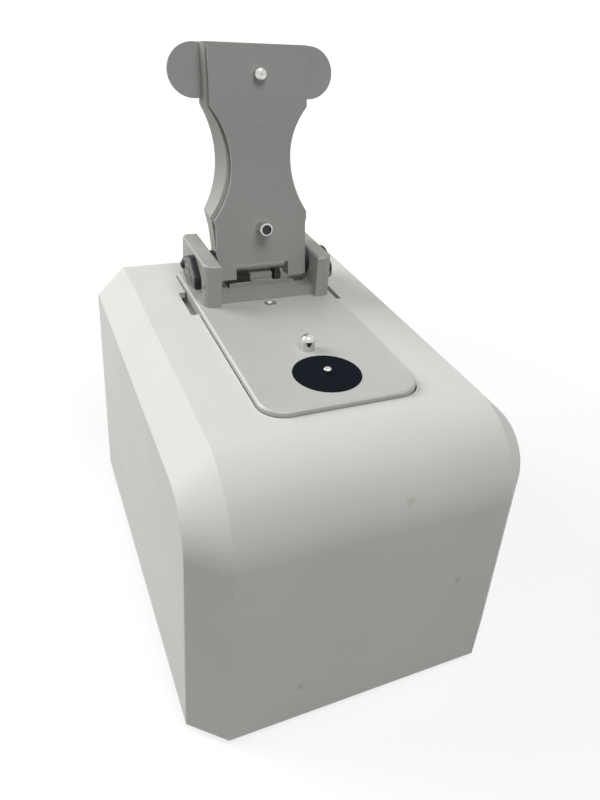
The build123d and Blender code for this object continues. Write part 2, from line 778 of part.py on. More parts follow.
damper_outer = yoke_outer + damper_thickness + damper_face_thickness
for side_name, sign in (("left", -1), ("right", 1)):
    with BuildPart() as damper_case:
        with BuildSketch(Plane.YZ.offset(sign * yoke_outer)):
            damper_outline(0)
            with Locations((pivot_y, pivot_z)):
                Circle(journal_radius + running_gap, mode=Mode.SUBTRACT)
            with Locations((anchor_y, anchor_z)):
                Circle(screw_radius + screw_gap, mode=Mode.SUBTRACT)
        extrude(amount=sign * damper_thickness)
    damper_case.part.label = "damper_case_" + side_name
    export_step(damper_case.part, "parts/damper_case_" + side_name + ".step")

    with BuildPart() as damper_face:
        with BuildSketch(Plane.YZ.offset(sign * (yoke_outer + damper_thickness))):
            damper_outline(damper_face_inset)
            with Locations((pivot_y - damper_hole_forward, pivot_z + damper_hole_rise)):
                Circle(damper_hole_radius, mode=Mode.SUBTRACT)
            with Locations((pivot_y, pivot_z)):
                Circle(screw_radius + 2 * running_gap, mode=Mode.SUBTRACT)
            with Locations((anchor_y, anchor_z)):
                Circle(anchor_head_radius + running_gap, mode=Mode.SUBTRACT)
        extrude(amount=sign * damper_face_thickness)
    damper_face.part.label = "damper_face_" + side_name
    export_step(damper_face.part, "parts/damper_face_" + side_name + ".step")

# Anchor screws of the damper cases, heads sunk in the face plates
with BuildPart() as anchor_screws:
    with BuildSketch(Plane.XY.offset(anchor_z)):
        with BuildLine():
            shank_end = yoke_outer - anchor_depth + 0.5
            seat = yoke_outer + damper_thickness
            Polyline((shank_end, anchor_y), (shank_end, anchor_y + screw_radius), (seat, anchor_y + screw_radius),
                     (seat, anchor_y + anchor_head_radius), (seat + anchor_head_height, anchor_y + anchor_head_radius),
                     (seat + anchor_head_height, anchor_y), close=True)
        make_face()
        mirror(about=Plane.YZ)
    revolve(axis=Axis((0, anchor_y, anchor_z), (1, 0, 0)))
anchor_screws.part.label = "anchor_screws"
export_step(anchor_screws.part, "parts/anchor_screws.step")

# Hinge shaft: a hollow barrel between two journals that turn in the yoke
with BuildPart() as hinge_shaft:
    shaft_end = yoke_outer + damper_thickness
    with BuildSketch(Plane.XY.offset(pivot_z)):
        with BuildLine():
            Polyline((0, pivot_y), (0, pivot_y + barrel_radius), (barrel_half, pivot_y + barrel_radius),
                     (barrel_half, pivot_y + journal_radius), (shaft_end, pivot_y + journal_radius),
                     (shaft_end, pivot_y), (0, pivot_y))
        make_face()
        mirror(about=Plane.YZ)
    revolve(axis=pivot_axis)
    # Bore along the barrel and a slot where the fibre turns up into the arm
    with BuildSketch(Plane.YZ.offset(-barrel_half + 2)):
        with Locations((pivot_y, pivot_z)):
            Circle(barrel_bore)
    extrude(amount=2 * barrel_half - 4, mode=Mode.SUBTRACT)
    with BuildSketch(arm_level(pivot_n - barrel_bore)):
        with Locations((0, pivot_s + barrel_radius / 2 + 1)):
            Rectangle(2 * barrel_radius, barrel_radius + 2)
    extrude(amount=-2 * barrel_bore, mode=Mode.SUBTRACT)
    # Threads for the pivot screws
    for sign in (-1, 1):
        with BuildSketch(Plane.YZ.offset(sign * shaft_end)):
            with Locations((pivot_y, pivot_z)):
                Circle(screw_radius)
        extrude(amount=-sign * pivot_screw_depth, mode=Mode.SUBTRACT)
hinge_shaft.part.label = "hinge_shaft"
export_step(hinge_shaft.part, "parts/hinge_shaft.step")

# Domed screws in the ends of the shaft
with BuildPart() as pivot_screws:
    with BuildSketch(Plane.XY.offset(pivot_z)):
        with BuildLine():
            head_seat = damper_outer + side_gap
            tip = head_seat + pivot_screw_height
            Polyline((tip, pivot_y), (shaft_end - pivot_screw_depth + 0.5, pivot_y),
                     (shaft_end - pivot_screw_depth + 0.5, pivot_y + screw_radius),
                     (head_seat, pivot_y + screw_radius), (head_seat, pivot_y + pivot_screw_head),
                     (head_seat + 0.4, pivot_y + pivot_screw_head))
            ThreePointArc((head_seat + 0.4, pivot_y + pivot_screw_head),
                          (head_seat + pivot_screw_height * 0.8, pivot_y + pivot_screw_head * 0.6),
                          (tip, pivot_y + pivot_screw_flat))
            Line((tip, pivot_y + pivot_screw_flat), (tip, pivot_y))
        make_face()
        mirror(about=Plane.YZ)
    revolve(axis=pivot_axis)
pivot_screws.part.label = "pivot_screws"
export_step(pivot_screws.part, "parts/pivot_screws.step")

# Plastic washers between the arm and the posts
with BuildPart() as hinge_washers:
    for sign in (-1, 1):
        with BuildSketch(Plane.YZ.offset(sign * (face_half_foot + side_gap))):
            with Locations((pivot_y, pivot_z)):
                Circle(washer_radius)
                Circle(journal_radius + running_gap, mode=Mode.SUBTRACT)
        extrude(amount=sign * washer_thickness)
hinge_washers.part.label = "hinge_washers"
export_step(hinge_washers.part, "parts/hinge_washers.step")

# Bent clip under the barrel; its tail shows above the fibre guard
clip_front = well_front + guard_thickness + clip_gap
clip_top = pivot_z - barrel_radius
with BuildPart() as fibre_clip:
    with BuildSketch(Plane.YZ.offset(-clip_half)) as clip_profile:
        with BuildLine():
            Polyline((clip_front, clip_top), (clip_front, pivot_z - clip_drop),
                     (clip_front + clip_thickness, pivot_z - clip_drop),
                     (clip_front + clip_thickness, clip_top - clip_thickness),
                     (pivot_y + clip_leaf_back, clip_top - clip_thickness), (pivot_y + clip_leaf_back, clip_top),
                     close=True)
        make_face()
    extrude(amount=2 * clip_half)
fibre_clip.part.label = "fibre_clip"
export_step(fibre_clip.part, "parts/fibre_clip.step")

# Arm face plate: machined plate with a square head, round waist and notched foot
with BuildPart() as arm_face:
    with BuildSketch(arm_level(0)):
        arm_outline(face_half_top, face_top, face_shoulder, face_waist_half, face_hip, face_half_foot,
                    cover_neck, face_half_foot, face_foot)
        with Locations((0, (face_foot + face_notch_top) / 2)):
            Rectangle(2 * face_notch_half, face_notch_top - face_foot, mode=Mode.SUBTRACT)
        with Locations((0, stud_s), (0, contact_s)):
            Circle(shank_radius + fibre_gap, mode=Mode.SUBTRACT)
    extrude(amount=-face_thickness)
arm_face.part.label = "arm_face"
export_step(arm_face.part, "parts/arm_face.step")


def cover_outline(grow, waist_half, hip, inset, foot):
    """Outline of the arm cover at one depth; inset moves it in for the hollow."""
    arm_outline(face_half_top + grow - inset, face_top + cover_top_rise - inset, cover_shoulder + inset / 2,
                waist_half - inset, hip - inset / 2, cover_neck_half - inset, cover_neck - inset / 2,
                cover_foot_half - inset, foot)


def face_inset(inset, foot):
    """Outline of the face plate moved in."""
    arm_outline(face_half_top - inset, face_top - inset, face_shoulder + inset / 2, face_waist_half - inset,
                face_hip - inset / 2, face_half_foot - inset, cover_neck - inset / 2, face_half_foot - inset,
                foot)


# Solid form of the arm cover: sides that flare to the back, round back edges
with BuildPart() as cover_form:
    with BuildSketch(arm_level(cover_front)):
        cover_outline(cover_grow_front, cover_waist_front, cover_hip_front, 0, face_foot)
    with BuildSketch(arm_level(cover_depth)):
        cover_outline(cover_grow_back, cover_waist_back, cover_hip_back, 0, face_foot)
    loft(ruled=True)
    back_face = cover_form.faces().sort_by(Axis((0, 0, 0), -arm_plane.z_dir))[-1]
    fillet(back_face.edges(), cover_edge_round)

# Arm cover: the hollow shell with knuckles for the hinge shaft
with BuildPart() as arm_cover:
    add(cover_form.part)
    # Low step that seats the face plate and leaves a shadow groove round it
    with BuildSketch(arm_level(face_thickness)):
        face_inset(groove_inset, face_foot)
    extrude(amount=-groove_depth)
    # Opening behind the face plate, then the hollow
    with BuildSketch(arm_level(face_thickness)):
        face_inset(flange_width, cover_cross_wall + cover_wall)
    extrude(amount=-(groove_depth + flange_thickness), mode=Mode.SUBTRACT)
    with BuildSketch(arm_level(cover_front + flange_thickness)):
        cover_outline(cover_grow_front, cover_waist_front, cover_hip_front, cover_wall,
                      cover_cross_wall + cover_wall)
    with BuildSketch(arm_level(cover_depth - cover_wall)):
        cover_outline(cover_grow_back, cover_waist_back, cover_hip_back, cover_wall,
                      cover_cross_wall + cover_wall)
    loft(ruled=True, mode=Mode.SUBTRACT)
    # Gap between the knuckles, and a hole for the fibre in the cross wall
    with BuildSketch(arm_level(0)):
        with Locations((0, (face_foot - 1 + cover_cross_wall) / 2)):
            Rectangle(2 * (barrel_half + side_gap), cover_cross_wall - face_foot + 1)
    extrude(amount=-(cover_depth + 1), mode=Mode.SUBTRACT)
    with BuildSketch(Plane(origin=arm_point(0, cover_cross_wall, fibre_depth), x_dir=(1, 0, 0),
                           z_dir=arm_plane.y_dir)):
        Circle(jacket_radius + 0.2)
    extrude(amount=cover_wall + 1, mode=Mode.SUBTRACT)
    # Bore for the shaft and slots for the tongues of the ears
    with BuildSketch(Plane.YZ.offset(-face_half_foot - 1)):
        with Locations((pivot_y, pivot_z)):
            Circle(journal_radius + fibre_gap)
    extrude(amount=2 * face_half_foot + 2, mode=Mode.SUBTRACT)
    with BuildSketch(arm_level(ear_depth - ear_gap / 3)):
        with Locations((0, ear_s)):
            Rectangle(2 * ear_centre, ear_tongue + 2 * ear_gap / 3)
    extrude(amount=-(ear_thickness + 2 * ear_gap / 3), mode=Mode.SUBTRACT)
arm_cover.part.label = "arm_cover"
export_step(arm_cover.part, "parts/arm_cover.step")

# Half-round finger tabs beside the head of the arm, each held by a tongue
for name, sign in (("ear_left", -1), ("ear_right", 1)):
    with BuildPart() as ear:
        with BuildSketch(arm_level(ear_depth)):
            with Locations((sign * ear_centre, ear_s)):
                Circle(ear_radius)
        extrude(amount=-ear_thickness)
        add(cover_form.part, mode=Mode.SUBTRACT)
        with BuildSketch(arm_level(ear_depth)):
            with Locations((sign * (ear_neck + ear_root) / 2, ear_s)):
                Rectangle(ear_neck - ear_root, ear_tongue)
        extrude(amount=-ear_thickness)
    ear.part.label = name
    export_step(ear.part, "parts/" + name + ".step")


def stud_plane(s):
    """Plane through a stud's axis: local x is the radius, local y points out of the arm's face."""
    return Plane(origin=arm_point(0, s, 0), x_dir=(1, 0, 0), z_dir=-arm_plane.y_dir)


def stud_axis(s):
    """Axis of a stud that stands on the arm's face."""
    return Axis(arm_point(0, s, 0), arm_plane.z_dir)


# Upper pedestal: polished stud with a fibre in the middle of its dome
with BuildPart() as upper_pedestal:
    with BuildSketch(stud_plane(stud_s)):
        with BuildLine():
            bore = fibre_radius + fibre_gap
            Polyline((bore, -shank_length), (bore, stud_length), (stud_flat, stud_length))
            ThreePointArc((stud_flat, stud_length), (stud_radius - 0.55, stud_length - 0.5),
                          (stud_radius, stud_length - 1.4))
            Polyline((stud_radius, stud_length - 1.4), (stud_radius, 0), (shank_radius, 0),
                     (shank_radius, -shank_length), (bore, -shank_length))
        make_face()
    revolve(axis=stud_axis(stud_s))
upper_pedestal.part.label = "upper_pedestal"
export_step(upper_pedestal.part, "parts/upper_pedestal.step")

with BuildPart() as upper_fibre_core:
    with BuildSketch(arm_plane.offset(stud_length)):
        with Locations((0, stud_s)):
            Circle(fibre_radius)
    extrude(amount=-stud_length - shank_length)
upper_fibre_core.part.label = "upper_fibre_core"
export_step(upper_fibre_core.part, "parts/upper_fibre_core.step")

# Contact stud near the hinge, hollow at its end for a magnet
with BuildPart() as contact_stud:
    with BuildSketch(stud_plane(contact_s)):
        with BuildLine():
            floor = contact_length - contact_bore_depth
            Polyline((0, -shank_length), (0, floor), (contact_bore, floor), (contact_bore, contact_length),
                     (contact_radius - 0.25, contact_length), (contact_radius, contact_length - 0.25),
                     (contact_radius, 0), (shank_radius, 0), (shank_radius, -shank_length), close=True)
        make_face()
    revolve(axis=stud_axis(contact_s))
contact_stud.part.label = "contact_stud"
export_step(contact_stud.part, "parts/contact_stud.step")

with BuildPart() as contact_magnet:
    with BuildSketch(arm_plane.offset(contact_length - contact_bore_depth)):
        with Locations((0, contact_s)):
            Circle(contact_bore - fibre_gap)
    extrude(amount=magnet_thickness)
contact_magnet.part.label = "contact_magnet"
export_step(contact_magnet.part, "parts/contact_magnet.step")

with BuildPart() as stud_nut:
    with BuildSketch(arm_level(face_thickness)):
        with Locations((0, contact_s)):
            RegularPolygon(nut_size, 6)
            Circle(shank_radius + fibre_gap, mode=Mode.SUBTRACT)
    extrude(amount=-nut_thickness)
stud_nut.part.label = "stud_nut"
export_step(stud_nut.part, "parts/stud_nut.step")

# Optic block behind the upper pedestal, where the fibre meets it
with BuildPart() as optic_block:
    with BuildSketch(arm_level(face_thickness)):
        with Locations((0, (block_low + block_high) / 2)):
            RectangleRounded(2 * optic_half, block_high - block_low, 1.5)
    extrude(amount=-(optic_depth - face_thickness))
    with BuildSketch(arm_level(face_thickness)):
        with Locations((0, stud_s)):
            Circle(shank_radius + fibre_gap)
    extrude(amount=-(shank_length - face_thickness + 0.3), mode=Mode.SUBTRACT)
    with BuildSketch(Plane(origin=arm_point(0, block_low, fibre_depth), x_dir=(1, 0, 0), z_dir=arm_plane.y_dir)):
        Circle(jacket_radius + fibre_gap)
    extrude(amount=ferrule_depth, mode=Mode.SUBTRACT)
optic_block.part.label = "optic_block"
export_step(optic_block.part, "parts/optic_block.step")


def fibre(points, bend):
    """Round jacket along a bent path."""
    with BuildPart() as jacket:
        with BuildLine() as path:
            if len(points) > 2:
                FilletPolyline(*points, radius=bend)
            else:
                Line(*points)
        with BuildSketch(Plane(origin=path.line @ 0, z_dir=path.line % 0)):
            Circle(jacket_radius)
        sweep(path=path.line)
    return jacket.part


# Fibres: inside the arm, from the lamp to the hinge, and from the lower pedestal to the bench
arm_path = [arm_point(0, pivot_s + 1, fibre_depth), arm_point(0, block_low + ferrule_depth, fibre_depth)]
lamp_top = base_top + pad_height + lamp_height + lamp_port_height
lamp_path = [(0, lamp_fibre_y, lamp_top - 3), (0, lamp_fibre_y, 72), (fibre_side, fibre_rise_y, 100),
             (fibre_side, fibre_rise_y, pivot_z - barrel_radius - 0.1)]
bench_port_z = base_top + pad_height + bench_height / 2
bench_path = [(0, disc_y, thread_end), (0, disc_y, 96), (0, fibre_loop_y, 66), (0, fibre_loop_y, bench_port_z),
              (0, bench_front - bench_port_length + 3, bench_port_z)]
for name, points, bend in (("arm_fibre", arm_path, 60), ("lamp_fibre", lamp_path, 18),
                           ("lower_fibre", bench_path, 16)):
    jacket = fibre(points, bend)
    jacket.label = name
    export_step(jacket, "parts/" + name + ".step")

# Folded side brackets that carry the pedestal plate on the base
for name, sign in (("support_bracket_left", -1), ("support_bracket_right", 1)):
    wall_out = bracket_wall_x + bracket_sheet
    with BuildPart() as bracket:
        with BuildSketch(Plane.XZ.offset(-bracket_back)):
            with BuildLine():
                Polyline((sign * (wall_out - bracket_top_flange), bracket_top), (sign * wall_out, bracket_top),
                         (sign * wall_out, base_top + bracket_sheet),
                         (sign * (wall_out + bracket_foot), base_top + bracket_sheet),
                         (sign * (wall_out + bracket_foot), base_top), (sign * bracket_wall_x, base_top),
                         (sign * bracket_wall_x, bracket_top - bracket_sheet),
                         (sign * (wall_out - bracket_top_flange), bracket_top - bracket_sheet), close=True)
            make_face()
        extrude(amount=bracket_back - bracket_front)
        # Screw holes, a window that lightens the wall, and holes for the board
        with BuildSketch(Plane.XY.offset(bracket_top - bracket_sheet)):
            with Locations([(sign * bracket_screw_x, y) for y in bracket_screw_y]):
                Circle(screw_radius + screw_gap)
        extrude(amount=bracket_sheet, mode=Mode.SUBTRACT)
        with BuildSketch(Plane.XY.offset(base_top)):
            with Locations([(sign * bracket_foot_x, y) for y in (-bracket_foot_y, bracket_foot_y)]):
                Circle(screw_radius + screw_gap)
        extrude(amount=bracket_sheet, mode=Mode.SUBTRACT)
        with BuildSketch(Plane.YZ.offset(min(sign * bracket_wall_x, sign * wall_out))):
            with Locations((0, (board_low + board_high) / 2)):
                RectangleRounded(60, 34, 6)
            if sign > 0:
                with Locations((board_mid_y, (board_low + board_high) / 2)):
                    with GridLocations(board_hole_pitch_y, board_hole_pitch_z, 2, 2):
                        Circle(screw_radius + screw_gap)
        extrude(amount=bracket_sheet, mode=Mode.SUBTRACT)
    bracket.part.label = name
    export_step(bracket.part, "parts/" + name + ".step")

# Optical bench: cast housing with cut corners on four pads, and its lid
bench_low = base_top + pad_height
bench_top = bench_low + bench_height


def bench_outline(inset):
    """Plan of the bench housing, narrower to the front."""
    x = bench_half_width - inset
    with BuildLine() as outline:
        Polyline((-x, bench_back - inset), (x, bench_back - inset), (x, bench_front + 22),
                 (x - 11, bench_front + inset), (11 - x, bench_front + inset), (-x, bench_front + 22), close=True)
    make_face(outline.edges())


lid_screw_places = [(sign * (bench_half_width - 5), y) for sign in (-1, 1) for y in (-22.0, 3.0, 28.0)]
with BuildPart() as spectrometer_housing:
    with BuildSketch(Plane.XY.offset(bench_low)):
        bench_outline(0)
    extrude(amount=bench_height)
    fillet(spectrometer_housing.edges().filter_by(Axis.Z), 2)
    with BuildSketch(Plane.XY.offset(base_top)):
        with Locations((0, -4)):
            with GridLocations(40, 60, 2, 2):
                Circle(4)
    extrude(amount=pad_height)
    with BuildSketch(Plane.XY.offset(bench_top)):
        with Locations(*lid_screw_places):
            Circle(screw_radius + screw_gap)
    extrude(amount=-5, mode=Mode.SUBTRACT)
    with BuildSketch(Plane.XZ.offset(-bench_front)):
        with Locations((0, bench_port_z)):
            Circle(bench_port_radius + fibre_gap)
    extrude(amount=-6, mode=Mode.SUBTRACT)
spectrometer_housing.part.label = "spectrometer_housing"
export_step(spectrometer_housing.part, "parts/spectrometer_housing.step")

with BuildPart() as spectrometer_lid:
    with BuildSketch(Plane.XY.offset(bench_top)):
        bench_outline(0.8)
        with Locations(*lid_screw_places):
            Circle(screw_radius + screw_gap, mode=Mode.SUBTRACT)
    extrude(amount=bench_lid)
spectrometer_lid.part.label = "spectrometer_lid"
export_step(spectrometer_lid.part, "parts/spectrometer_lid.step")

with BuildPart() as lid_screws:
    with BuildSketch(Plane.XZ):
        pan_screw_profile(6)
    lid_screw = revolve(axis=Axis.Z, mode=Mode.PRIVATE)
    with Locations([Location((x, y, bench_top + bench_lid), (180, 0, 0)) for x, y in lid_screw_places]):
        add(lid_screw)
lid_screws.part.label = "lid_screws"
export_step(lid_screws.part, "parts/lid_screws.step")

with BuildPart() as bench_port:
    with BuildSketch(Plane.XY.offset(bench_port_z)):
        with BuildLine():
            front = bench_front - bench_port_length
            Polyline((jacket_radius + fibre_gap, front), (4.2, front), (4.2, bench_front - 2), (5.2, bench_front - 2),
                     (5.2, bench_front), (bench_port_radius, bench_front), (bench_port_radius, bench_front + 5),
                     (0, bench_front + 5), (0, front + 3.1), (jacket_radius + fibre_gap, front + 3.1), close=True)
        make_face()
    revolve(axis=Axis((0, 0, bench_port_z), (0, 1, 0)))
bench_port.part.label = "bench_port"
export_step(bench_port.part, "parts/bench_port.step")

# Flash lamp housing with cooling grooves down its sides and a port on top
with BuildPart() as lamp_housing:
    lamp_mid = (lamp_front + lamp_back) / 2
    with BuildSketch(Plane.XY.offset(base_top + pad_height)):
        with Locations((0, lamp_mid)):
            RectangleRounded(2 * lamp_half_width, lamp_back - lamp_front, 3)
            for sign in (-1, 1):
                with Locations((sign * lamp_half_width, 0)):
                    with GridLocations(1, 5, 1, 6):
                        Rectangle(8, 2.2, mode=Mode.SUBTRACT)
    extrude(amount=lamp_height)
    with BuildSketch(Plane.XY.offset(base_top)):
        with Locations((0, lamp_mid)):
            with GridLocations(26, 26, 2, 2):
                Circle(3)
    extrude(amount=pad_height)
    with BuildSketch(Plane.XY.offset(base_top + pad_height + lamp_height)):
        with Locations((0, lamp_fibre_y)):
            Circle(5)
    extrude(amount=lamp_port_height)
    with BuildSketch(Plane.XY.offset(lamp_top)):
        with Locations((0, lamp_fibre_y)):
            Circle(jacket_radius + fibre_gap)
    extrude(amount=-3.1, mode=Mode.SUBTRACT)
lamp_housing.part.label = "lamp_housing"
export_step(lamp_housing.part, "parts/lamp_housing.step")

# Main board on standoffs beside the right bracket
board_x = bracket_wall_x + bracket_sheet + board_standoff
standoff_places = [(board_mid_y + sy * board_hole_pitch_y / 2, (board_low + board_high) / 2 + sz * board_hole_pitch_z / 2)
                   for sy in (-1, 1) for sz in (-1, 1)]
with BuildPart() as main_board:
    with BuildSketch(Plane.YZ.offset(board_x)):
        with Locations((board_mid_y, (board_low + board_high) / 2)):
            RectangleRounded(board_back - board_front, board_high - board_low, 2)
        with Locations(*standoff_places):
            Circle(screw_radius + screw_gap, mode=Mode.SUBTRACT)
    extrude(amount=board_thickness)
main_board.part.label = "main_board"
export_step(main_board.part, "parts/main_board.step")

with BuildPart() as board_standoffs:
    with BuildSketch(Plane.YZ.offset(board_x - board_standoff)):
        with Locations(*standoff_places):
            RegularPolygon(3.2, 6)
    extrude(amount=board_standoff)
    with BuildSketch(Plane.YZ.offset(board_x)):
        with Locations(*standoff_places):
            Circle(screw_radius)
    extrude(amount=board_thickness)
    with BuildSketch(Plane.YZ.offset(board_x + board_thickness)):
        with Locations(*standoff_places):
            Circle(screw_head_radius)
    extrude(amount=screw_head_height)
board_standoffs.part.label = "board_standoffs"
export_step(board_standoffs.part, "parts/board_standoffs.step")

board_face = board_x + board_thickness
with BuildPart() as board_chips:
    with BuildSketch(Plane.YZ.offset(board_face)):
        with Locations((-10, 60), (22, 36)):
            RectangleRounded(16, 16, 0.6)
        with Locations((-32, 40), (-32, 64), (14, 74)):
            Rectangle(10, 6)
    extrude(amount=1.6)
board_chips.part.label = "board_chips"
export_step(board_chips.part, "parts/board_chips.step")

with BuildPart() as board_capacitors:
    with BuildSketch(Plane.YZ.offset(board_face)):
        with Locations((40, 50), (40, 64), (40, 36)):
            Circle(5)
    extrude(amount=12)
    fillet(board_capacitors.edges().filter_by(GeomType.CIRCLE).group_by(Axis.X)[-1], 0.8)
board_capacitors.part.label = "board_capacitors"
export_step(board_capacitors.part, "parts/board_capacitors.step")

with BuildPart() as board_headers:
    with BuildSketch(Plane.YZ.offset(board_face)):
        with Locations((-20, 24), (4, 24)):
            Rectangle(16, 6)
            Rectangle(13, 3.6, mode=Mode.SUBTRACT)
    extrude(amount=7)
    with BuildSketch(Plane.YZ.offset(board_face)):
        with Locations((-20, 24), (4, 24)):
            Rectangle(13, 3.6)
    extrude(amount=1.5)
board_headers.part.label = "board_headers"
export_step(board_headers.part, "parts/board_headers.step")

# Rear socket plate, folded to stand on the base
io_face = half_depth - case_wall
with BuildPart() as io_plate:
    with BuildSketch(Plane.XZ.offset(-io_face)):
        with Locations((0, (base_top + io_high) / 2)):
            Rectangle(2 * io_half_width, io_high - base_top)
        with Locations((usb_x, io_centre)):
            Rectangle(usb_width + 2 * running_gap, usb_height + 2 * running_gap, mode=Mode.SUBTRACT)
        with Locations((power_x, io_centre)):
            Circle(power_radius + running_gap, mode=Mode.SUBTRACT)
    extrude(amount=io_thickness)
    with BuildSketch(Plane.XY.offset(base_top)):
        with Locations((0, io_face - io_thickness - io_fold / 2)):
            Rectangle(2 * io_half_width, io_fold)
    extrude(amount=io_thickness)
io_plate.part.label = "io_plate"
export_step(io_plate.part, "parts/io_plate.step")

# Square data socket with a tongue in its mouth
with BuildPart() as data_socket:
    socket_face = io_face + socket_proud
    with BuildSketch(Plane.XZ.offset(-socket_face)):
        with Locations((usb_x, io_centre)):
            RectangleRounded(usb_width, usb_height, 0.5)
    extrude(amount=usb_length)
    with BuildSketch(Plane.XZ.offset(-socket_face)) as mouth:
        with Locations((usb_x, io_centre)):
            Rectangle(usb_mouth_width, usb_mouth_height)
        chamfer(mouth.vertices().group_by(Axis.Y)[-1], 1.7)
    extrude(amount=usb_mouth_depth, mode=Mode.SUBTRACT)
    with BuildSketch(Plane.XZ.offset(-socket_face + 1)):
        with Locations((usb_x, io_centre)):
            Rectangle(5.6, 3.2)
    extrude(amount=usb_mouth_depth - 1)
data_socket.part.label = "data_socket"
export_step(data_socket.part, "parts/data_socket.step")

# Round power socket: threaded body behind the plate, nut outside, pin in the middle
with BuildPart() as power_socket:
    with BuildSketch(Plane.XZ.offset(-(io_face + power_proud))):
        with Locations((power_x, io_centre)):
            Circle(power_radius)
    extrude(amount=power_proud + io_thickness)
    with BuildSketch(Plane.XZ.offset(-(io_face - io_thickness))):
        with Locations((power_x, io_centre)):
            RectangleRounded(13, 13, 1)
    extrude(amount=11)
    with BuildSketch(Plane.XZ.offset(-(io_face + power_proud))):
        with Locations((power_x, io_centre)):
            Circle(power_hole)
            Circle(power_pin, mode=Mode.SUBTRACT)
    extrude(amount=power_hole_depth, mode=Mode.SUBTRACT)
power_socket.part.label = "power_socket"
export_step(power_socket.part, "parts/power_socket.step")

with BuildPart() as power_nut_part:
    with BuildSketch(Plane.XZ.offset(-io_face - power_nut_thickness)):
        with Locations((power_x, io_centre)):
            RegularPolygon(power_nut, 6)
            Circle(power_radius + fibre_gap, mode=Mode.SUBTRACT)
    extrude(amount=power_nut_thickness)
power_nut_part.part.label = "power_nut"
export_step(power_nut_part.part, "parts/power_nut.step")
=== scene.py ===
import json
import math

import bmesh
import bpy
from mathutils import Matrix, Vector


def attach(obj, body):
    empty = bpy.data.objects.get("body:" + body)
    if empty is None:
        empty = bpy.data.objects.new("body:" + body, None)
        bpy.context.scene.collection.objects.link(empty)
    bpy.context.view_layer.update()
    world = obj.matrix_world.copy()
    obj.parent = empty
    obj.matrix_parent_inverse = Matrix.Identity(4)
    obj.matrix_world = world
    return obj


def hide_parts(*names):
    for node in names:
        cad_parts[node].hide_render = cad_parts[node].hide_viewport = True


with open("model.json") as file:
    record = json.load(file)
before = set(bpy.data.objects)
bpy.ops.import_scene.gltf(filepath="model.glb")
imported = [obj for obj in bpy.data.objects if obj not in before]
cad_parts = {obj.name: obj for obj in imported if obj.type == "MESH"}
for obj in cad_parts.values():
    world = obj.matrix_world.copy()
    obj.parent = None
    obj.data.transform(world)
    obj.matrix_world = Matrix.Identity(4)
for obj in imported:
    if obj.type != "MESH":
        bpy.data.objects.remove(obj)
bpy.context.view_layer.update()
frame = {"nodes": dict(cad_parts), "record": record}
nodes = frame["nodes"]
print("frame loaded")

# Colours, linear
paintColour = (0.735, 0.735, 0.70, 1.0)
# The arm's paint is the case's off-white paint, darkened here as painted shade
armPaintShadedColour = (0.40, 0.405, 0.375, 1.0)
metalColour = (0.555, 0.56, 0.53, 1.0)
# The arm's metal is the plate's satin metal, darkened here as painted shade
armMetalShadedColour = (0.36, 0.36, 0.35, 1.0)
yokeColour = (0.37, 0.375, 0.345, 1.0)
blackColour = (0.008, 0.009, 0.011, 1.0)
stainColour = (0.60, 0.57, 0.40, 1.0)
scuffColour = (0.30, 0.29, 0.27, 1.0)
whiteColour = (1.0, 1.0, 1.0, 1.0)


def setSocket(node, name, value):
    node.inputs[name].default_value = value


def link(tree, fromNode, fromName, toNode, toName):
    tree.links.new(fromNode.outputs[fromName], toNode.inputs[toName])


# What every finish shares: noise scales are per metre, and the bump's depth is in metres
finish = {
    "broadScale": 30.0,
    "broadDetail": 4.0,
    "fineScale": 400.0,
    "fineDetail": 5.0,
    "roughnessSpread": 0.06,
    "roughnessFloor": 0.02,
    "grainScale": 2500.0,
    "grainDetail": 3.0,
    "bumpDistance": 0.0001,
}

# Spots have a ragged edge: noise per radius, and where they start and end in radii
spotEdge = {"noise": 1.6, "outer": 1.7, "inner": 1.1}


def addNoise(tree, coords, scale, detail):
    noise = tree.nodes.new("ShaderNodeTexNoise")
    setSocket(noise, "Scale", scale)
    setSocket(noise, "Detail", detail)
    link(tree, coords, "Object", noise, "Vector")
    return noise


def addSpots(tree, coords, colourSocket, spots):
    # Each spot is a centre, a radius in metres, a colour and a strength
    for centre, radius, colour, strength in spots:
        away = tree.nodes.new("ShaderNodeVectorMath")
        away.operation = "DISTANCE"
        link(tree, coords, "Object", away, "Vector")
        away.inputs[1].default_value = centre
        ragged = tree.nodes.new("ShaderNodeTexNoise")
        setSocket(ragged, "Scale", spotEdge["noise"] / radius)
        link(tree, coords, "Object", ragged, "Vector")
        edge = tree.nodes.new("ShaderNodeMath")
        edge.operation = "MULTIPLY_ADD"
        link(tree, ragged, "Fac", edge, "Value")
        edge.inputs[1].default_value = radius
        tree.links.new(away.outputs["Value"], edge.inputs[2])
        fade = tree.nodes.new("ShaderNodeMapRange")
        setSocket(fade, "From Min", radius * spotEdge["outer"])
        setSocket(fade, "From Max", radius * spotEdge["inner"])
        setSocket(fade, "To Max", strength)
        link(tree, edge, "Value", fade, "Value")
        stain = tree.nodes.new("ShaderNodeMix")
        stain.data_type = "RGBA"
        stain.inputs[7].default_value = colour
        tree.links.new(fade.outputs["Result"], stain.inputs[0])
        tree.links.new(colourSocket, stain.inputs[6])
        colourSocket = stain.outputs[2]
    return colourSocket


def scaled(colour, factor):
    return tuple(min(1.0, channel * factor) for channel in colour[:3]) + (1.0,)


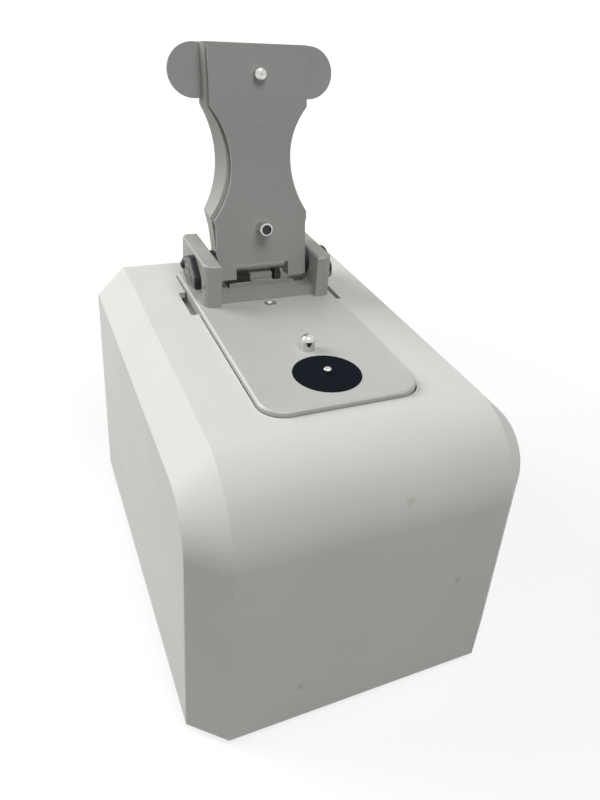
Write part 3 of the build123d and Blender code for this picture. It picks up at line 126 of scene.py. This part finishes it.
def makeMaterial(name, look):
    material = bpy.data.materials.new(name)
    material.use_nodes = True
    tree = material.node_tree
    shader = tree.nodes["Principled BSDF"]
    colour = look["colour"]
    roughness = look["roughness"]
    setSocket(shader, "Base Color", colour)
    setSocket(shader, "Metallic", look.get("metallic", 0.0))
    setSocket(shader, "Roughness", roughness)
    setSocket(shader, "Specular IOR Level", look.get("specular", 0.5))
    setSocket(shader, "Alpha", look.get("alpha", 1.0))
    coords = tree.nodes.new("ShaderNodeTexCoord")

    # Broad colour variation
    broad = addNoise(tree, coords, finish["broadScale"], finish["broadDetail"])
    amount = look["variation"]
    ramp = tree.nodes.new("ShaderNodeMapRange")
    setSocket(ramp, "From Min", 0.3)
    setSocket(ramp, "From Max", 0.7)
    link(tree, broad, "Fac", ramp, "Value")
    mix = tree.nodes.new("ShaderNodeMix")
    mix.data_type = "RGBA"
    mix.inputs[6].default_value = scaled(colour, 1.0 - amount)
    mix.inputs[7].default_value = scaled(colour, 1.0 + amount)
    tree.links.new(ramp.outputs["Result"], mix.inputs[0])
    finalColour = addSpots(tree, coords, mix.outputs[2], look.get("spots", ()))
    tree.links.new(finalColour, shader.inputs["Base Color"])

    # Roughness variation
    fine = addNoise(tree, coords, finish["fineScale"], finish["fineDetail"])
    spread = finish["roughnessSpread"]
    rough = tree.nodes.new("ShaderNodeMapRange")
    setSocket(rough, "To Min", max(finish["roughnessFloor"], roughness - spread))
    setSocket(rough, "To Max", min(1.0, roughness + spread))
    link(tree, fine, "Fac", rough, "Value")
    tree.links.new(rough.outputs["Result"], shader.inputs["Roughness"])

    # Fine bump
    if "bump" in look:
        bump = tree.nodes.new("ShaderNodeBump")
        setSocket(bump, "Strength", look["bump"])
        setSocket(bump, "Distance", look.get("bumpDistance", finish["bumpDistance"]))
        grain = addNoise(tree, coords, look.get("grainScale", finish["grainScale"]), finish["grainDetail"])
        tree.links.new(grain.outputs["Fac"], bump.inputs["Height"])
        tree.links.new(bump.outputs["Normal"], shader.inputs["Normal"])
    return material


caseSpots = (
    ((0.0105, -0.0985, 0.1035), 0.0022, stainColour, 0.45),
    ((0.0385, -0.1000, 0.0560), 0.0014, scuffColour, 0.35),
    ((-0.0280, -0.1000, 0.0220), 0.0016, scuffColour, 0.30),
    ((0.0560, -0.0990, 0.0300), 0.0012, scuffColour, 0.35),
)
armSpots = (
    ((0.0005, 0.0487, 0.2030), 0.0010, scuffColour, 0.6),
    ((0.0015, 0.0472, 0.1940), 0.0008, scuffColour, 0.5),
)
looks = {
    "case_paint": {"colour": paintColour, "roughness": 0.5, "specular": 0.25, "variation": 0.02,
                   "bump": 0.3, "grainScale": 1500.0, "bumpDistance": 0.00007, "spots": caseSpots},
    # The arm's paint colour is darkened as painted shade
    "arm_paint": {"colour": armPaintShadedColour, "roughness": 0.5, "specular": 0.3, "variation": 0.03,
                  "bump": 0.25},
    "plate_metal": {"colour": metalColour, "metallic": 0.15, "roughness": 0.5, "specular": 0.3,
                    "variation": 0.03, "bump": 0.35, "grainScale": 3500.0},
    # The arm face and ears take the darkened metal colour: painted shade
    "arm_metal": {"colour": armMetalShadedColour, "metallic": 0.1, "roughness": 0.55, "specular": 0.25,
                  "variation": 0.03, "bump": 0.35, "grainScale": 3500.0, "spots": armSpots},
    "ear_metal": {"colour": armMetalShadedColour, "metallic": 0.1, "roughness": 0.55, "specular": 0.25,
                  "variation": 0.04, "bump": 0.3},
    "disc_black": {"colour": (0.005, 0.008, 0.012, 1.0), "roughness": 0.75, "specular": 0.05,
                   "variation": 0.2, "bump": 0.15},
    "polished_steel": {"colour": (0.62, 0.61, 0.59, 1.0), "metallic": 1.0, "roughness": 0.12,
                       "variation": 0.04},
    "hinge_steel": {"colour": (0.42, 0.41, 0.39, 1.0), "metallic": 0.8, "roughness": 0.38,
                    "variation": 0.08},
    "guard_steel": {"colour": yokeColour, "metallic": 0.1, "roughness": 0.5, "specular": 0.3,
                    "variation": 0.06},
    "damper_black": {"colour": blackColour, "roughness": 0.5, "specular": 0.3, "variation": 0.2,
                     "bump": 0.2},
    "damper_grey": {"colour": (0.13, 0.135, 0.13, 1.0), "metallic": 0.3, "roughness": 0.45,
                    "variation": 0.12},
    "screw_black": {"colour": (0.012, 0.012, 0.012, 1.0), "metallic": 0.3, "roughness": 0.4,
                    "variation": 0.1},
    "screw_steel": {"colour": (0.45, 0.45, 0.45, 1.0), "metallic": 1.0, "roughness": 0.3,
                    "variation": 0.06},
    "inner_metal": {"colour": (0.45, 0.46, 0.47, 1.0), "metallic": 0.9, "roughness": 0.4,
                    "variation": 0.08},
    "cast_metal": {"colour": (0.30, 0.31, 0.32, 1.0), "metallic": 0.7, "roughness": 0.5,
                   "variation": 0.1, "bump": 0.4},
    "washer_black": {"colour": blackColour, "roughness": 0.5, "variation": 0.2, "bump": 0.2},
    "socket_black": {"colour": (0.02, 0.02, 0.022, 1.0), "roughness": 0.5, "variation": 0.15,
                     "bump": 0.2},
    "socket_steel": {"colour": (0.5, 0.5, 0.5, 1.0), "metallic": 1.0, "roughness": 0.3,
                     "variation": 0.06},
    "foot_rubber": {"colour": (0.02, 0.02, 0.02, 1.0), "roughness": 0.8, "variation": 0.2,
                    "bump": 0.4},
    "jacket_black": {"colour": (0.012, 0.012, 0.012, 1.0), "roughness": 0.5, "variation": 0.2,
                     "bump": 0.2},
    "fibre_glass": {"colour": (0.75, 0.8, 0.85, 1.0), "roughness": 0.1, "variation": 0.02,
                    "alpha": 0.6},
    "coil_tape": {"colour": (0.40, 0.22, 0.03, 1.0), "roughness": 0.35, "variation": 0.1,
                  "bump": 0.2},
    "magnet_nickel": {"colour": (0.05, 0.05, 0.055, 1.0), "metallic": 0.8, "roughness": 0.4,
                      "variation": 0.1},
    "board_green": {"colour": (0.012, 0.09, 0.035, 1.0), "roughness": 0.35, "variation": 0.1,
                    "bump": 0.2},
    "chip_black": {"colour": (0.015, 0.015, 0.017, 1.0), "roughness": 0.6, "variation": 0.1,
                   "bump": 0.2},
    "can_metal": {"colour": (0.5, 0.5, 0.52, 1.0), "metallic": 1.0, "roughness": 0.3,
                  "variation": 0.05},
    "base_zinc": {"colour": (0.45, 0.46, 0.45, 1.0), "metallic": 0.9, "roughness": 0.4,
                  "variation": 0.1},
}


def paintNodes():
    made = {name: makeMaterial(name, look) for name, look in looks.items()}
    slotOf = {part["node"]: part["material_slot"] for part in frame["record"]["subparts"]}
    for name, node in nodes.items():
        node.data.materials.clear()
        node.data.materials.append(made[slotOf[name]])
    # The posts are a little darker than the plate
    posts = nodes["hinge_yoke"].data.materials
    posts.clear()
    posts.append(makeMaterial("post_metal", {**looks["plate_metal"], "colour": yokeColour}))
    return made


materials = paintNodes()
print("nodes painted")

# Places that the hinge pieces share, in metres
hinge = {"pivotY": 0.0441, "pivotZ": 0.1395, "postFace": 0.03135, "plateTop": 0.1264}
mergeDistance = 1e-7
tipRadius = 1e-5


def newPiece(name, build, slot, body="base", replaces=()):
    mesh = bpy.data.meshes.new(name)
    work = bmesh.new()
    build(work)
    bmesh.ops.remove_doubles(work, verts=work.verts, dist=mergeDistance)
    bmesh.ops.recalc_face_normals(work, faces=work.faces)
    work.to_mesh(mesh)
    work.free()
    mesh.materials.append(materials[slot])
    piece = bpy.data.objects.new(name, mesh)
    bpy.context.scene.collection.objects.link(piece)
    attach(piece, body)
    for node in replaces:
        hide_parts(node)
    return piece


def arcPoints(centre, radius, start, end, steps):
    points = []
    for step in range(steps + 1):
        angle = math.radians(start + (end - start) * step / steps)
        points.append((centre[0] + radius * math.cos(angle), centre[1] + radius * math.sin(angle)))
    return points


def circlePoints(centre, radius, steps):
    return arcPoints(centre, radius, 0, 360, steps)[:-1]


def turnsRight(a, b, c):
    return (b[0] - a[0]) * (c[1] - a[1]) - (b[1] - a[1]) * (c[0] - a[0]) <= 0


def hullOf(points):
    # Convex outline, anticlockwise
    points = sorted(set(points))

    def chainOf(run):
        chain = []
        for point in run:
            while len(chain) > 1 and turnsRight(chain[-2], chain[-1], point):
                chain.pop()
            chain.append(point)
        return chain[:-1]

    return chainOf(points) + chainOf(points[::-1])


def addLoops(work, loops):
    # A skin over rings of as many points each, closed at both ends
    rings = [[work.verts.new(point) for point in loop] for loop in loops]
    count = len(rings[0])
    for low, high in zip(rings, rings[1:]):
        for i in range(count):
            j = (i + 1) % count
            work.faces.new((low[i], low[j], high[j], high[i]))
    work.faces.new(rings[0][::-1])
    work.faces.new(rings[-1])


def sideLoops(sign, outlines):
    return [[(sign * x, y, z) for y, z in outline] for x, outline in outlines]


def latheAcross(work, sign, centre, profile, steps):
    # Profile of (x, radius) pairs turned round an axis along X
    outlines = [(x, circlePoints(centre, max(radius, tipRadius), steps)) for x, radius in profile]
    addLoops(work, sideLoops(sign, outlines))


# Damper cases: one outline round the middle, a round rear end and a flat front end
damper = {
    "middleRadius": 0.0073,
    "middleDrop": 0.0015,
    "middleSteps": 64,
    "rearRadius": 0.0039,
    "rearReach": 0.0080,
    "rearDrop": 0.0013,
    "frontReach": 0.0113,
    "frontDrop": 0.0061,
    "frontBlock": 0.0040,
    "frontRadius": 0.0034,
    "endSteps": 48,
    "thickness": 0.0027,
    "faceThickness": 0.0006,
    "faceInset": 0.0006,
    "edge": 0.00035,
    "outlinePoints": 160,
}


def damperOutline(inset):
    y = hinge["pivotY"]
    z = hinge["pivotZ"]
    front = y - damper["frontReach"]
    low = z - damper["frontDrop"]
    block = damper["frontBlock"]
    steps = damper["endSteps"]
    middle = (y, z - damper["middleDrop"])
    rear = (y + damper["rearReach"], z - damper["rearDrop"])
    nose = (front + damper["frontRadius"], low + block)
    points = arcPoints(middle, damper["middleRadius"] - inset, 0, 360, damper["middleSteps"])
    points += arcPoints(rear, damper["rearRadius"] - inset, 0, 360, steps)
    points += arcPoints(nose, damper["frontRadius"] - inset, 0, 360, steps)
    points += [(front + inset, low + inset), (front + block, low + inset)]
    return hullOf(points)


def resample(outline, count):
    # The same number of points round each outline, spaced by length
    lengths = [math.dist(a, b) for a, b in zip(outline, outline[1:] + outline[:1])]
    total = sum(lengths)
    points = []
    at = 0
    passed = 0.0
    for step in range(count):
        goal = total * step / count
        while passed + lengths[at] < goal:
            passed += lengths[at]
            at += 1
        share = (goal - passed) / lengths[at]
        a = outline[at]
        b = outline[(at + 1) % len(outline)]
        points.append((a[0] + (b[0] - a[0]) * share, a[1] + (b[1] - a[1]) * share))
    return points


def makeDampers():
    seat = hinge["postFace"]
    top = seat + damper["thickness"]
    outer = top + damper["faceThickness"]
    edge = damper["edge"]
    inset = damper["faceInset"]
    count = damper["outlinePoints"]
    case = resample(damperOutline(0.0), count)
    caseRim = resample(damperOutline(edge), count)
    face = resample(damperOutline(inset), count)
    faceRim = resample(damperOutline(inset + edge / 2), count)
    caseLayers = ((seat, case), (top - edge, case), (top, caseRim))
    faceLayers = ((top, face), (outer - edge / 2, face), (outer, faceRim))
    shells = (
        ("damperCase_", "damper_case_", "damper_black", caseLayers),
        ("damperFace_", "damper_face_", "damper_grey", faceLayers),
    )
    for side, sign in (("left", -1), ("right", 1)):
        for name, node, slot, layers in shells:
            loops = sideLoops(sign, layers)
            newPiece(name + side, lambda work: addLoops(work, loops), slot, replaces=(node + side,))
    return outer


# Screws on the damper faces: a domed head at the rear, a sunk head at the front, and the pivot's end.
# The dome is given in shares of the head's height and radius
screws = {
    "steps": 40,
    "radius": 0.0020,
    "height": 0.0012,
    "seat": 0.0002,
    "dome": ((0.45, 1.0), (0.8, 0.8), (1.0, 0.55)),
    "socketRadius": 0.0009,
    "socketFloorRadius": 0.0008,
    "socketFloor": 0.4,
    "sunkReach": 0.0070,
    "sunkDrop": 0.0029,
    "sunkRadius": 0.0018,
    "sunkSeat": 0.0004,
    "sunkProud": 0.00006,
    "sunkSocketDepth": 0.0003,
    "pivotSteps": 24,
    "pivotRadius": 0.0010,
    "pivotSeat": 0.0003,
    "pivotProud": 0.00005,
}


def makeHingeScrews(outer):
    y = hinge["pivotY"]
    z = hinge["pivotZ"]
    rear = (y + damper["rearReach"], z - damper["rearDrop"])
    front = (y - screws["sunkReach"], z - screws["sunkDrop"])
    radius = screws["radius"]
    height = screws["height"]
    socket = screws["socketRadius"]
    socketFloor = screws["socketFloorRadius"]
    sunk = screws["sunkRadius"]
    sunkTop = outer + screws["sunkProud"]
    domed = [(outer - screws["seat"], radius)]
    domed += [(outer + height * rise, radius * width) for rise, width in screws["dome"]]
    domed += [(outer + height, socket), (outer + height * screws["socketFloor"], socketFloor)]
    flush = [(outer - screws["sunkSeat"], sunk), (sunkTop, sunk), (sunkTop, socket),
             (outer - screws["sunkSocketDepth"], socketFloor)]
    pivot = [(outer - screws["pivotSeat"], screws["pivotRadius"]),
             (outer + screws["pivotProud"], screws["pivotRadius"])]

    def buildAnchors(work):
        for sign in (-1, 1):
            latheAcross(work, sign, rear, domed, screws["steps"])
            latheAcross(work, sign, front, flush, screws["steps"])

    def buildPivots(work):
        for sign in (-1, 1):
            latheAcross(work, sign, (y, z), pivot, screws["pivotSteps"])

    newPiece("anchorHeads", buildAnchors, "screw_black", replaces=("anchor_screws",))
    newPiece("pivotEnds", buildPivots, "screw_black", body="arm", replaces=("pivot_screws",))


# Strike cup: a polished ring round a dish. The rim is given in shares of its height and width
cup = {
    "y": 0.0254,
    "depth": 0.003,
    "radius": 0.0029,
    "rim": 0.0008,
    "proud": 0.00018,
    "rimShape": ((0.4, 0.0), (1.0, 0.35), (1.0, 0.7), (0.2, 1.2)),
    "dish": 0.0009,
    "dishSteps": 6,
    "steps": 48,
}


def makeCup():
    top = hinge["plateTop"]
    radius = cup["radius"]
    proud = cup["proud"]
    rim = cup["rim"]
    profile = [(top - cup["depth"], 0.0), (top - cup["depth"], radius)]
    profile += [(top + proud * rise, radius - rim * inward) for rise, inward in cup["rimShape"]]
    dishTop, dishRadius = profile[-1]
    for step in range(1, cup["dishSteps"] + 1):
        share = step / cup["dishSteps"]
        profile.append((dishTop - cup["dish"] * math.sin(share * math.pi / 2), dishRadius * (1 - share)))

    def build(work):
        loops = []
        for z, width in profile:
            ring = circlePoints((0.0, cup["y"]), max(width, tipRadius), cup["steps"])
            loops.append([(x, y, z) for x, y in ring])
        addLoops(work, loops)

    newPiece("strikeCup", build, "polished_steel", replaces=("strike_pad",))


# Corners that round off the opening in the case beside the plate's front corners
corner = {
    "half": 0.0341,
    "front": -0.0632,
    "radius": 0.0106,
    "top": 0.12402,
    "bottom": 0.1212,
    "overlap": 0.0001,
    "steps": 16,
}


def makeCorners():
    half = corner["half"]
    front = corner["front"]
    radius = corner["radius"]
    arc = arcPoints((half - radius, front + radius), radius, -90, 0, corner["steps"])
    outline = [(half + corner["overlap"], front - corner["overlap"])] + arc[::-1]

    def build(work):
        for sign in (-1, 1):
            levels = (corner["bottom"], corner["top"])
            addLoops(work, [[(sign * x, y, level) for x, y in outline] for level in levels])

    newPiece("openingCorners", build, "case_paint")


# Flush plugs in the posts' side holes that the damper cases leave open
plug = {"reach": 0.0139, "drop": 0.0029, "radius": 0.00158, "depth": 0.0008, "proud": 0.00001, "steps": 32}


def makePostPlugs():
    seat = hinge["postFace"]
    centre = (hinge["pivotY"] - plug["reach"], hinge["pivotZ"] - plug["drop"])
    profile = ((seat - plug["depth"], plug["radius"]), (seat + plug["proud"], plug["radius"]))

    def build(work):
        for sign in (-1, 1):
            latheAcross(work, sign, centre, profile, plug["steps"])

    plugs = newPiece("postPlugs", build, "plate_metal")
    plugs.data.materials.clear()
    plugs.data.materials.append(nodes["hinge_yoke"].data.materials[0])


makePostPlugs()
outerFace = makeDampers()
makeHingeScrews(outerFace)
makeCup()
makeCorners()
print("hinge pieces, strike cup and corners made")


# Screw heads under the base: one head with a hexagon socket at every screw, mirrored about both axes
baseHeads = {
    "radius": 0.00255,
    "sides": 32,
    "socket": 0.0011,
    "socketSides": 6,
    "depth": 0.0007,
    "height": 0.0009,
    "level": 0.00296,
    "places": ((0.045, 0.092), (0.062, 0.050), (0.0452, 0.040)),
}


def makeHeadTree():
    tree = bpy.data.node_groups.new("baseHeadRow", "GeometryNodeTree")
    tree.interface.new_socket(name="Geometry", in_out="INPUT", socket_type="NodeSocketGeometry")
    inputs = {}
    for label in ("Head radius", "Socket radius", "Head height", "Socket depth"):
        inputs[label] = tree.interface.new_socket(name=label, in_out="INPUT", socket_type="NodeSocketFloat")
    inputs["Material"] = tree.interface.new_socket(name="Material", in_out="INPUT",
                                                   socket_type="NodeSocketMaterial")
    tree.interface.new_socket(name="Geometry", in_out="OUTPUT", socket_type="NodeSocketGeometry")
    entry = tree.nodes.new("NodeGroupInput")
    leave = tree.nodes.new("NodeGroupOutput")
    head = tree.nodes.new("GeometryNodeMeshCylinder")
    setSocket(head, "Vertices", baseHeads["sides"])
    link(tree, entry, "Head radius", head, "Radius")
    link(tree, entry, "Head height", head, "Depth")
    hexagon = tree.nodes.new("GeometryNodeMeshCylinder")
    setSocket(hexagon, "Vertices", baseHeads["socketSides"])
    link(tree, entry, "Socket radius", hexagon, "Radius")
    link(tree, entry, "Socket depth", hexagon, "Depth")

    # The socket is cut into the head's underside
    lower = tree.nodes.new("ShaderNodeMath")
    lower.operation = "MULTIPLY"
    lower.inputs[1].default_value = -0.5
    link(tree, entry, "Head height", lower, "Value")
    drop = tree.nodes.new("ShaderNodeCombineXYZ")
    link(tree, lower, "Value", drop, "Z")
    place = tree.nodes.new("GeometryNodeTransform")
    link(tree, hexagon, "Mesh", place, "Geometry")
    link(tree, drop, "Vector", place, "Translation")
    cut = tree.nodes.new("GeometryNodeMeshBoolean")
    cut.operation = "DIFFERENCE"
    link(tree, head, "Mesh", cut, "Mesh 1")
    tree.links.new(place.outputs["Geometry"], cut.inputs[1])

    onPoints = tree.nodes.new("GeometryNodeInstanceOnPoints")
    link(tree, entry, "Geometry", onPoints, "Points")
    link(tree, cut, "Mesh", onPoints, "Instance")
    realize = tree.nodes.new("GeometryNodeRealizeInstances")
    link(tree, onPoints, "Instances", realize, "Geometry")
    paint = tree.nodes.new("GeometryNodeSetMaterial")
    link(tree, realize, "Geometry", paint, "Geometry")
    link(tree, entry, "Material", paint, "Material")
    link(tree, paint, "Geometry", leave, "Geometry")
    return tree, inputs


def makeBaseHeads():
    tree, inputs = makeHeadTree()
    level = baseHeads["level"] + baseHeads["height"] / 2
    signs = ((-1, -1), (-1, 1), (1, -1), (1, 1))
    places = [(right * x, back * y, level) for x, y in baseHeads["places"] for right, back in signs]
    points = bpy.data.meshes.new("baseHeadPoints")
    points.from_pydata(places, [], [])
    carrier = bpy.data.objects.new("baseHeadCarrier", points)
    bpy.context.scene.collection.objects.link(carrier)
    modifier = carrier.modifiers.new("heads", "NODES")
    modifier.node_group = tree
    values = {
        "Head radius": baseHeads["radius"],
        "Socket radius": baseHeads["socket"],
        "Head height": baseHeads["height"],
        "Socket depth": baseHeads["depth"],
        "Material": materials["screw_steel"],
    }
    for label, value in values.items():
        modifier[inputs[label].identifier] = value
    depsgraph = bpy.context.evaluated_depsgraph_get()
    mesh = bpy.data.meshes.new_from_object(carrier.evaluated_get(depsgraph))
    mesh.name = "baseHeads"
    bpy.data.objects.remove(carrier)
    piece = bpy.data.objects.new("baseHeads", mesh)
    bpy.context.scene.collection.objects.link(piece)
    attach(piece, "base")
    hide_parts("base_screws")


makeBaseHeads()
print("base screw heads made")

# Studio: white floor, one lamp behind on the left, one above the front, and the photograph's camera
studio = {
    "floorSize": 8.0,
    "floorColour": (0.28, 0.28, 0.28, 1.0),
    # The glow near the object is lower than far off: painted shade round the object
    "floorGlow": 0.76,
    "floorGlowFar": 1.0,
    "glowNear": 0.26,
    "glowFar": 0.55,
    "cameraPlace": (-0.11255, -0.26696, 0.27705),
    "cameraRight": (0.90330077, -0.4191072, 0.09163446),
    "cameraUp": (0.12685243, 0.46497631, 0.87618804),
    "cameraLens": 32.85,
    "cameraSensor": 36.0,
    "cameraNear": 0.01,
    "shiftX": -0.0546,
    "shiftY": -0.0734,
    "sidePower": 14.5,
    "sidePlace": (-1.02, 0.69, 0.87),
    "sideSize": 0.9,
    "topPower": 9.3,
    "topPlace": (0.07, -0.62, 1.30),
    "topSize": 0.8,
    "lampTarget": (0, 0, 0.1),
    "worldStrength": 0.17,
}


def seenDirectly(tree):
    # One for camera, glossy and transmission rays, nought for the rest
    rays = tree.nodes.new("ShaderNodeLightPath")
    first = tree.nodes.new("ShaderNodeMath")
    first.operation = "MAXIMUM"
    link(tree, rays, "Is Camera Ray", first, "Value")
    tree.links.new(rays.outputs["Is Glossy Ray"], first.inputs[1])
    second = tree.nodes.new("ShaderNodeMath")
    second.operation = "MAXIMUM"
    tree.links.new(first.outputs["Value"], second.inputs[0])
    tree.links.new(rays.outputs["Is Transmission Ray"], second.inputs[1])
    return second.outputs["Value"]


def makeFloor():
    floorMesh = bpy.data.meshes.new("studioFloor")
    half = studio["floorSize"] / 2
    corners = [(-half, -half, 0), (half, -half, 0), (half, half, 0), (-half, half, 0)]
    floorMesh.from_pydata(corners, [], [(0, 1, 2, 3)])
    floor = bpy.data.objects.new("studioFloor", floorMesh)
    bpy.context.scene.collection.objects.link(floor)
    material = bpy.data.materials.new("studioFloor")
    material.use_nodes = True
    tree = material.node_tree
    shader = tree.nodes["Principled BSDF"]
    setSocket(shader, "Base Color", studio["floorColour"])
    setSocket(shader, "Roughness", 1.0)
    setSocket(shader, "Specular IOR Level", 0.0)
    setSocket(shader, "Emission Color", whiteColour)

    # The floor glows to the eye alone, and more so away from the object: the weaker glow near the object is
    # painted shade round it, over which the lamps' shadow also shows
    coords = tree.nodes.new("ShaderNodeTexCoord")
    away = tree.nodes.new("ShaderNodeVectorMath")
    away.operation = "LENGTH"
    link(tree, coords, "Object", away, "Vector")
    rise = tree.nodes.new("ShaderNodeMapRange")
    setSocket(rise, "From Min", studio["glowNear"])
    setSocket(rise, "From Max", studio["glowFar"])
    setSocket(rise, "To Min", studio["floorGlow"])
    setSocket(rise, "To Max", studio["floorGlowFar"])
    link(tree, away, "Value", rise, "Value")
    glow = tree.nodes.new("ShaderNodeMath")
    glow.operation = "MULTIPLY"
    tree.links.new(seenDirectly(tree), glow.inputs[0])
    tree.links.new(rise.outputs["Result"], glow.inputs[1])
    tree.links.new(glow.outputs["Value"], shader.inputs["Emission Strength"])
    floorMesh.materials.append(material)


def makeLamp(name, place, power, size):
    lampData = bpy.data.lights.new(name, "AREA")
    lampData.energy = power
    lampData.shape = "DISK"
    lampData.size = size
    lamp = bpy.data.objects.new(name, lampData)
    lamp.location = place
    direction = Vector(studio["lampTarget"]) - Vector(place)
    lamp.rotation_euler = direction.to_track_quat("-Z", "Y").to_euler()
    bpy.context.scene.collection.objects.link(lamp)


def makeWorld():
    # A weak white light on the object, and full white where the world is seen directly
    world = bpy.data.worlds.new("studioWorld")
    world.use_nodes = True
    tree = world.node_tree
    background = tree.nodes["Background"]
    setSocket(background, "Color", whiteColour)
    setSocket(background, "Strength", studio["worldStrength"])
    white = tree.nodes.new("ShaderNodeBackground")
    setSocket(white, "Color", whiteColour)
    setSocket(white, "Strength", 1.0)
    mix = tree.nodes.new("ShaderNodeMixShader")
    tree.links.new(seenDirectly(tree), mix.inputs["Fac"])
    tree.links.new(background.outputs["Background"], mix.inputs[1])
    tree.links.new(white.outputs["Background"], mix.inputs[2])
    tree.links.new(mix.outputs["Shader"], tree.nodes["World Output"].inputs["Surface"])
    bpy.context.scene.world = world


def makeCamera():
    cameraData = bpy.data.cameras.new("photoCamera")
    cameraData.sensor_fit = "AUTO"
    cameraData.sensor_width = studio["cameraSensor"]
    cameraData.lens = studio["cameraLens"]
    cameraData.shift_x = studio["shiftX"]
    cameraData.shift_y = studio["shiftY"]
    cameraData.clip_start = studio["cameraNear"]
    camera = bpy.data.objects.new("photoCamera", cameraData)
    right = Vector(studio["cameraRight"]).normalized()
    backward = right.cross(Vector(studio["cameraUp"])).normalized()
    upward = backward.cross(right)
    turn = Matrix((right, upward, backward)).transposed()
    camera.matrix_world = Matrix.Translation(Vector(studio["cameraPlace"])) @ turn.to_4x4()
    bpy.context.scene.collection.objects.link(camera)
    bpy.context.scene.camera = camera


makeFloor()
makeLamp("sideLamp", studio["sidePlace"], studio["sidePower"], studio["sideSize"])
makeLamp("topLamp", studio["topPlace"], studio["topPower"], studio["topSize"])
makeWorld()
makeCamera()
bpy.context.scene.view_settings.view_transform = "Standard"
print("studio ready")
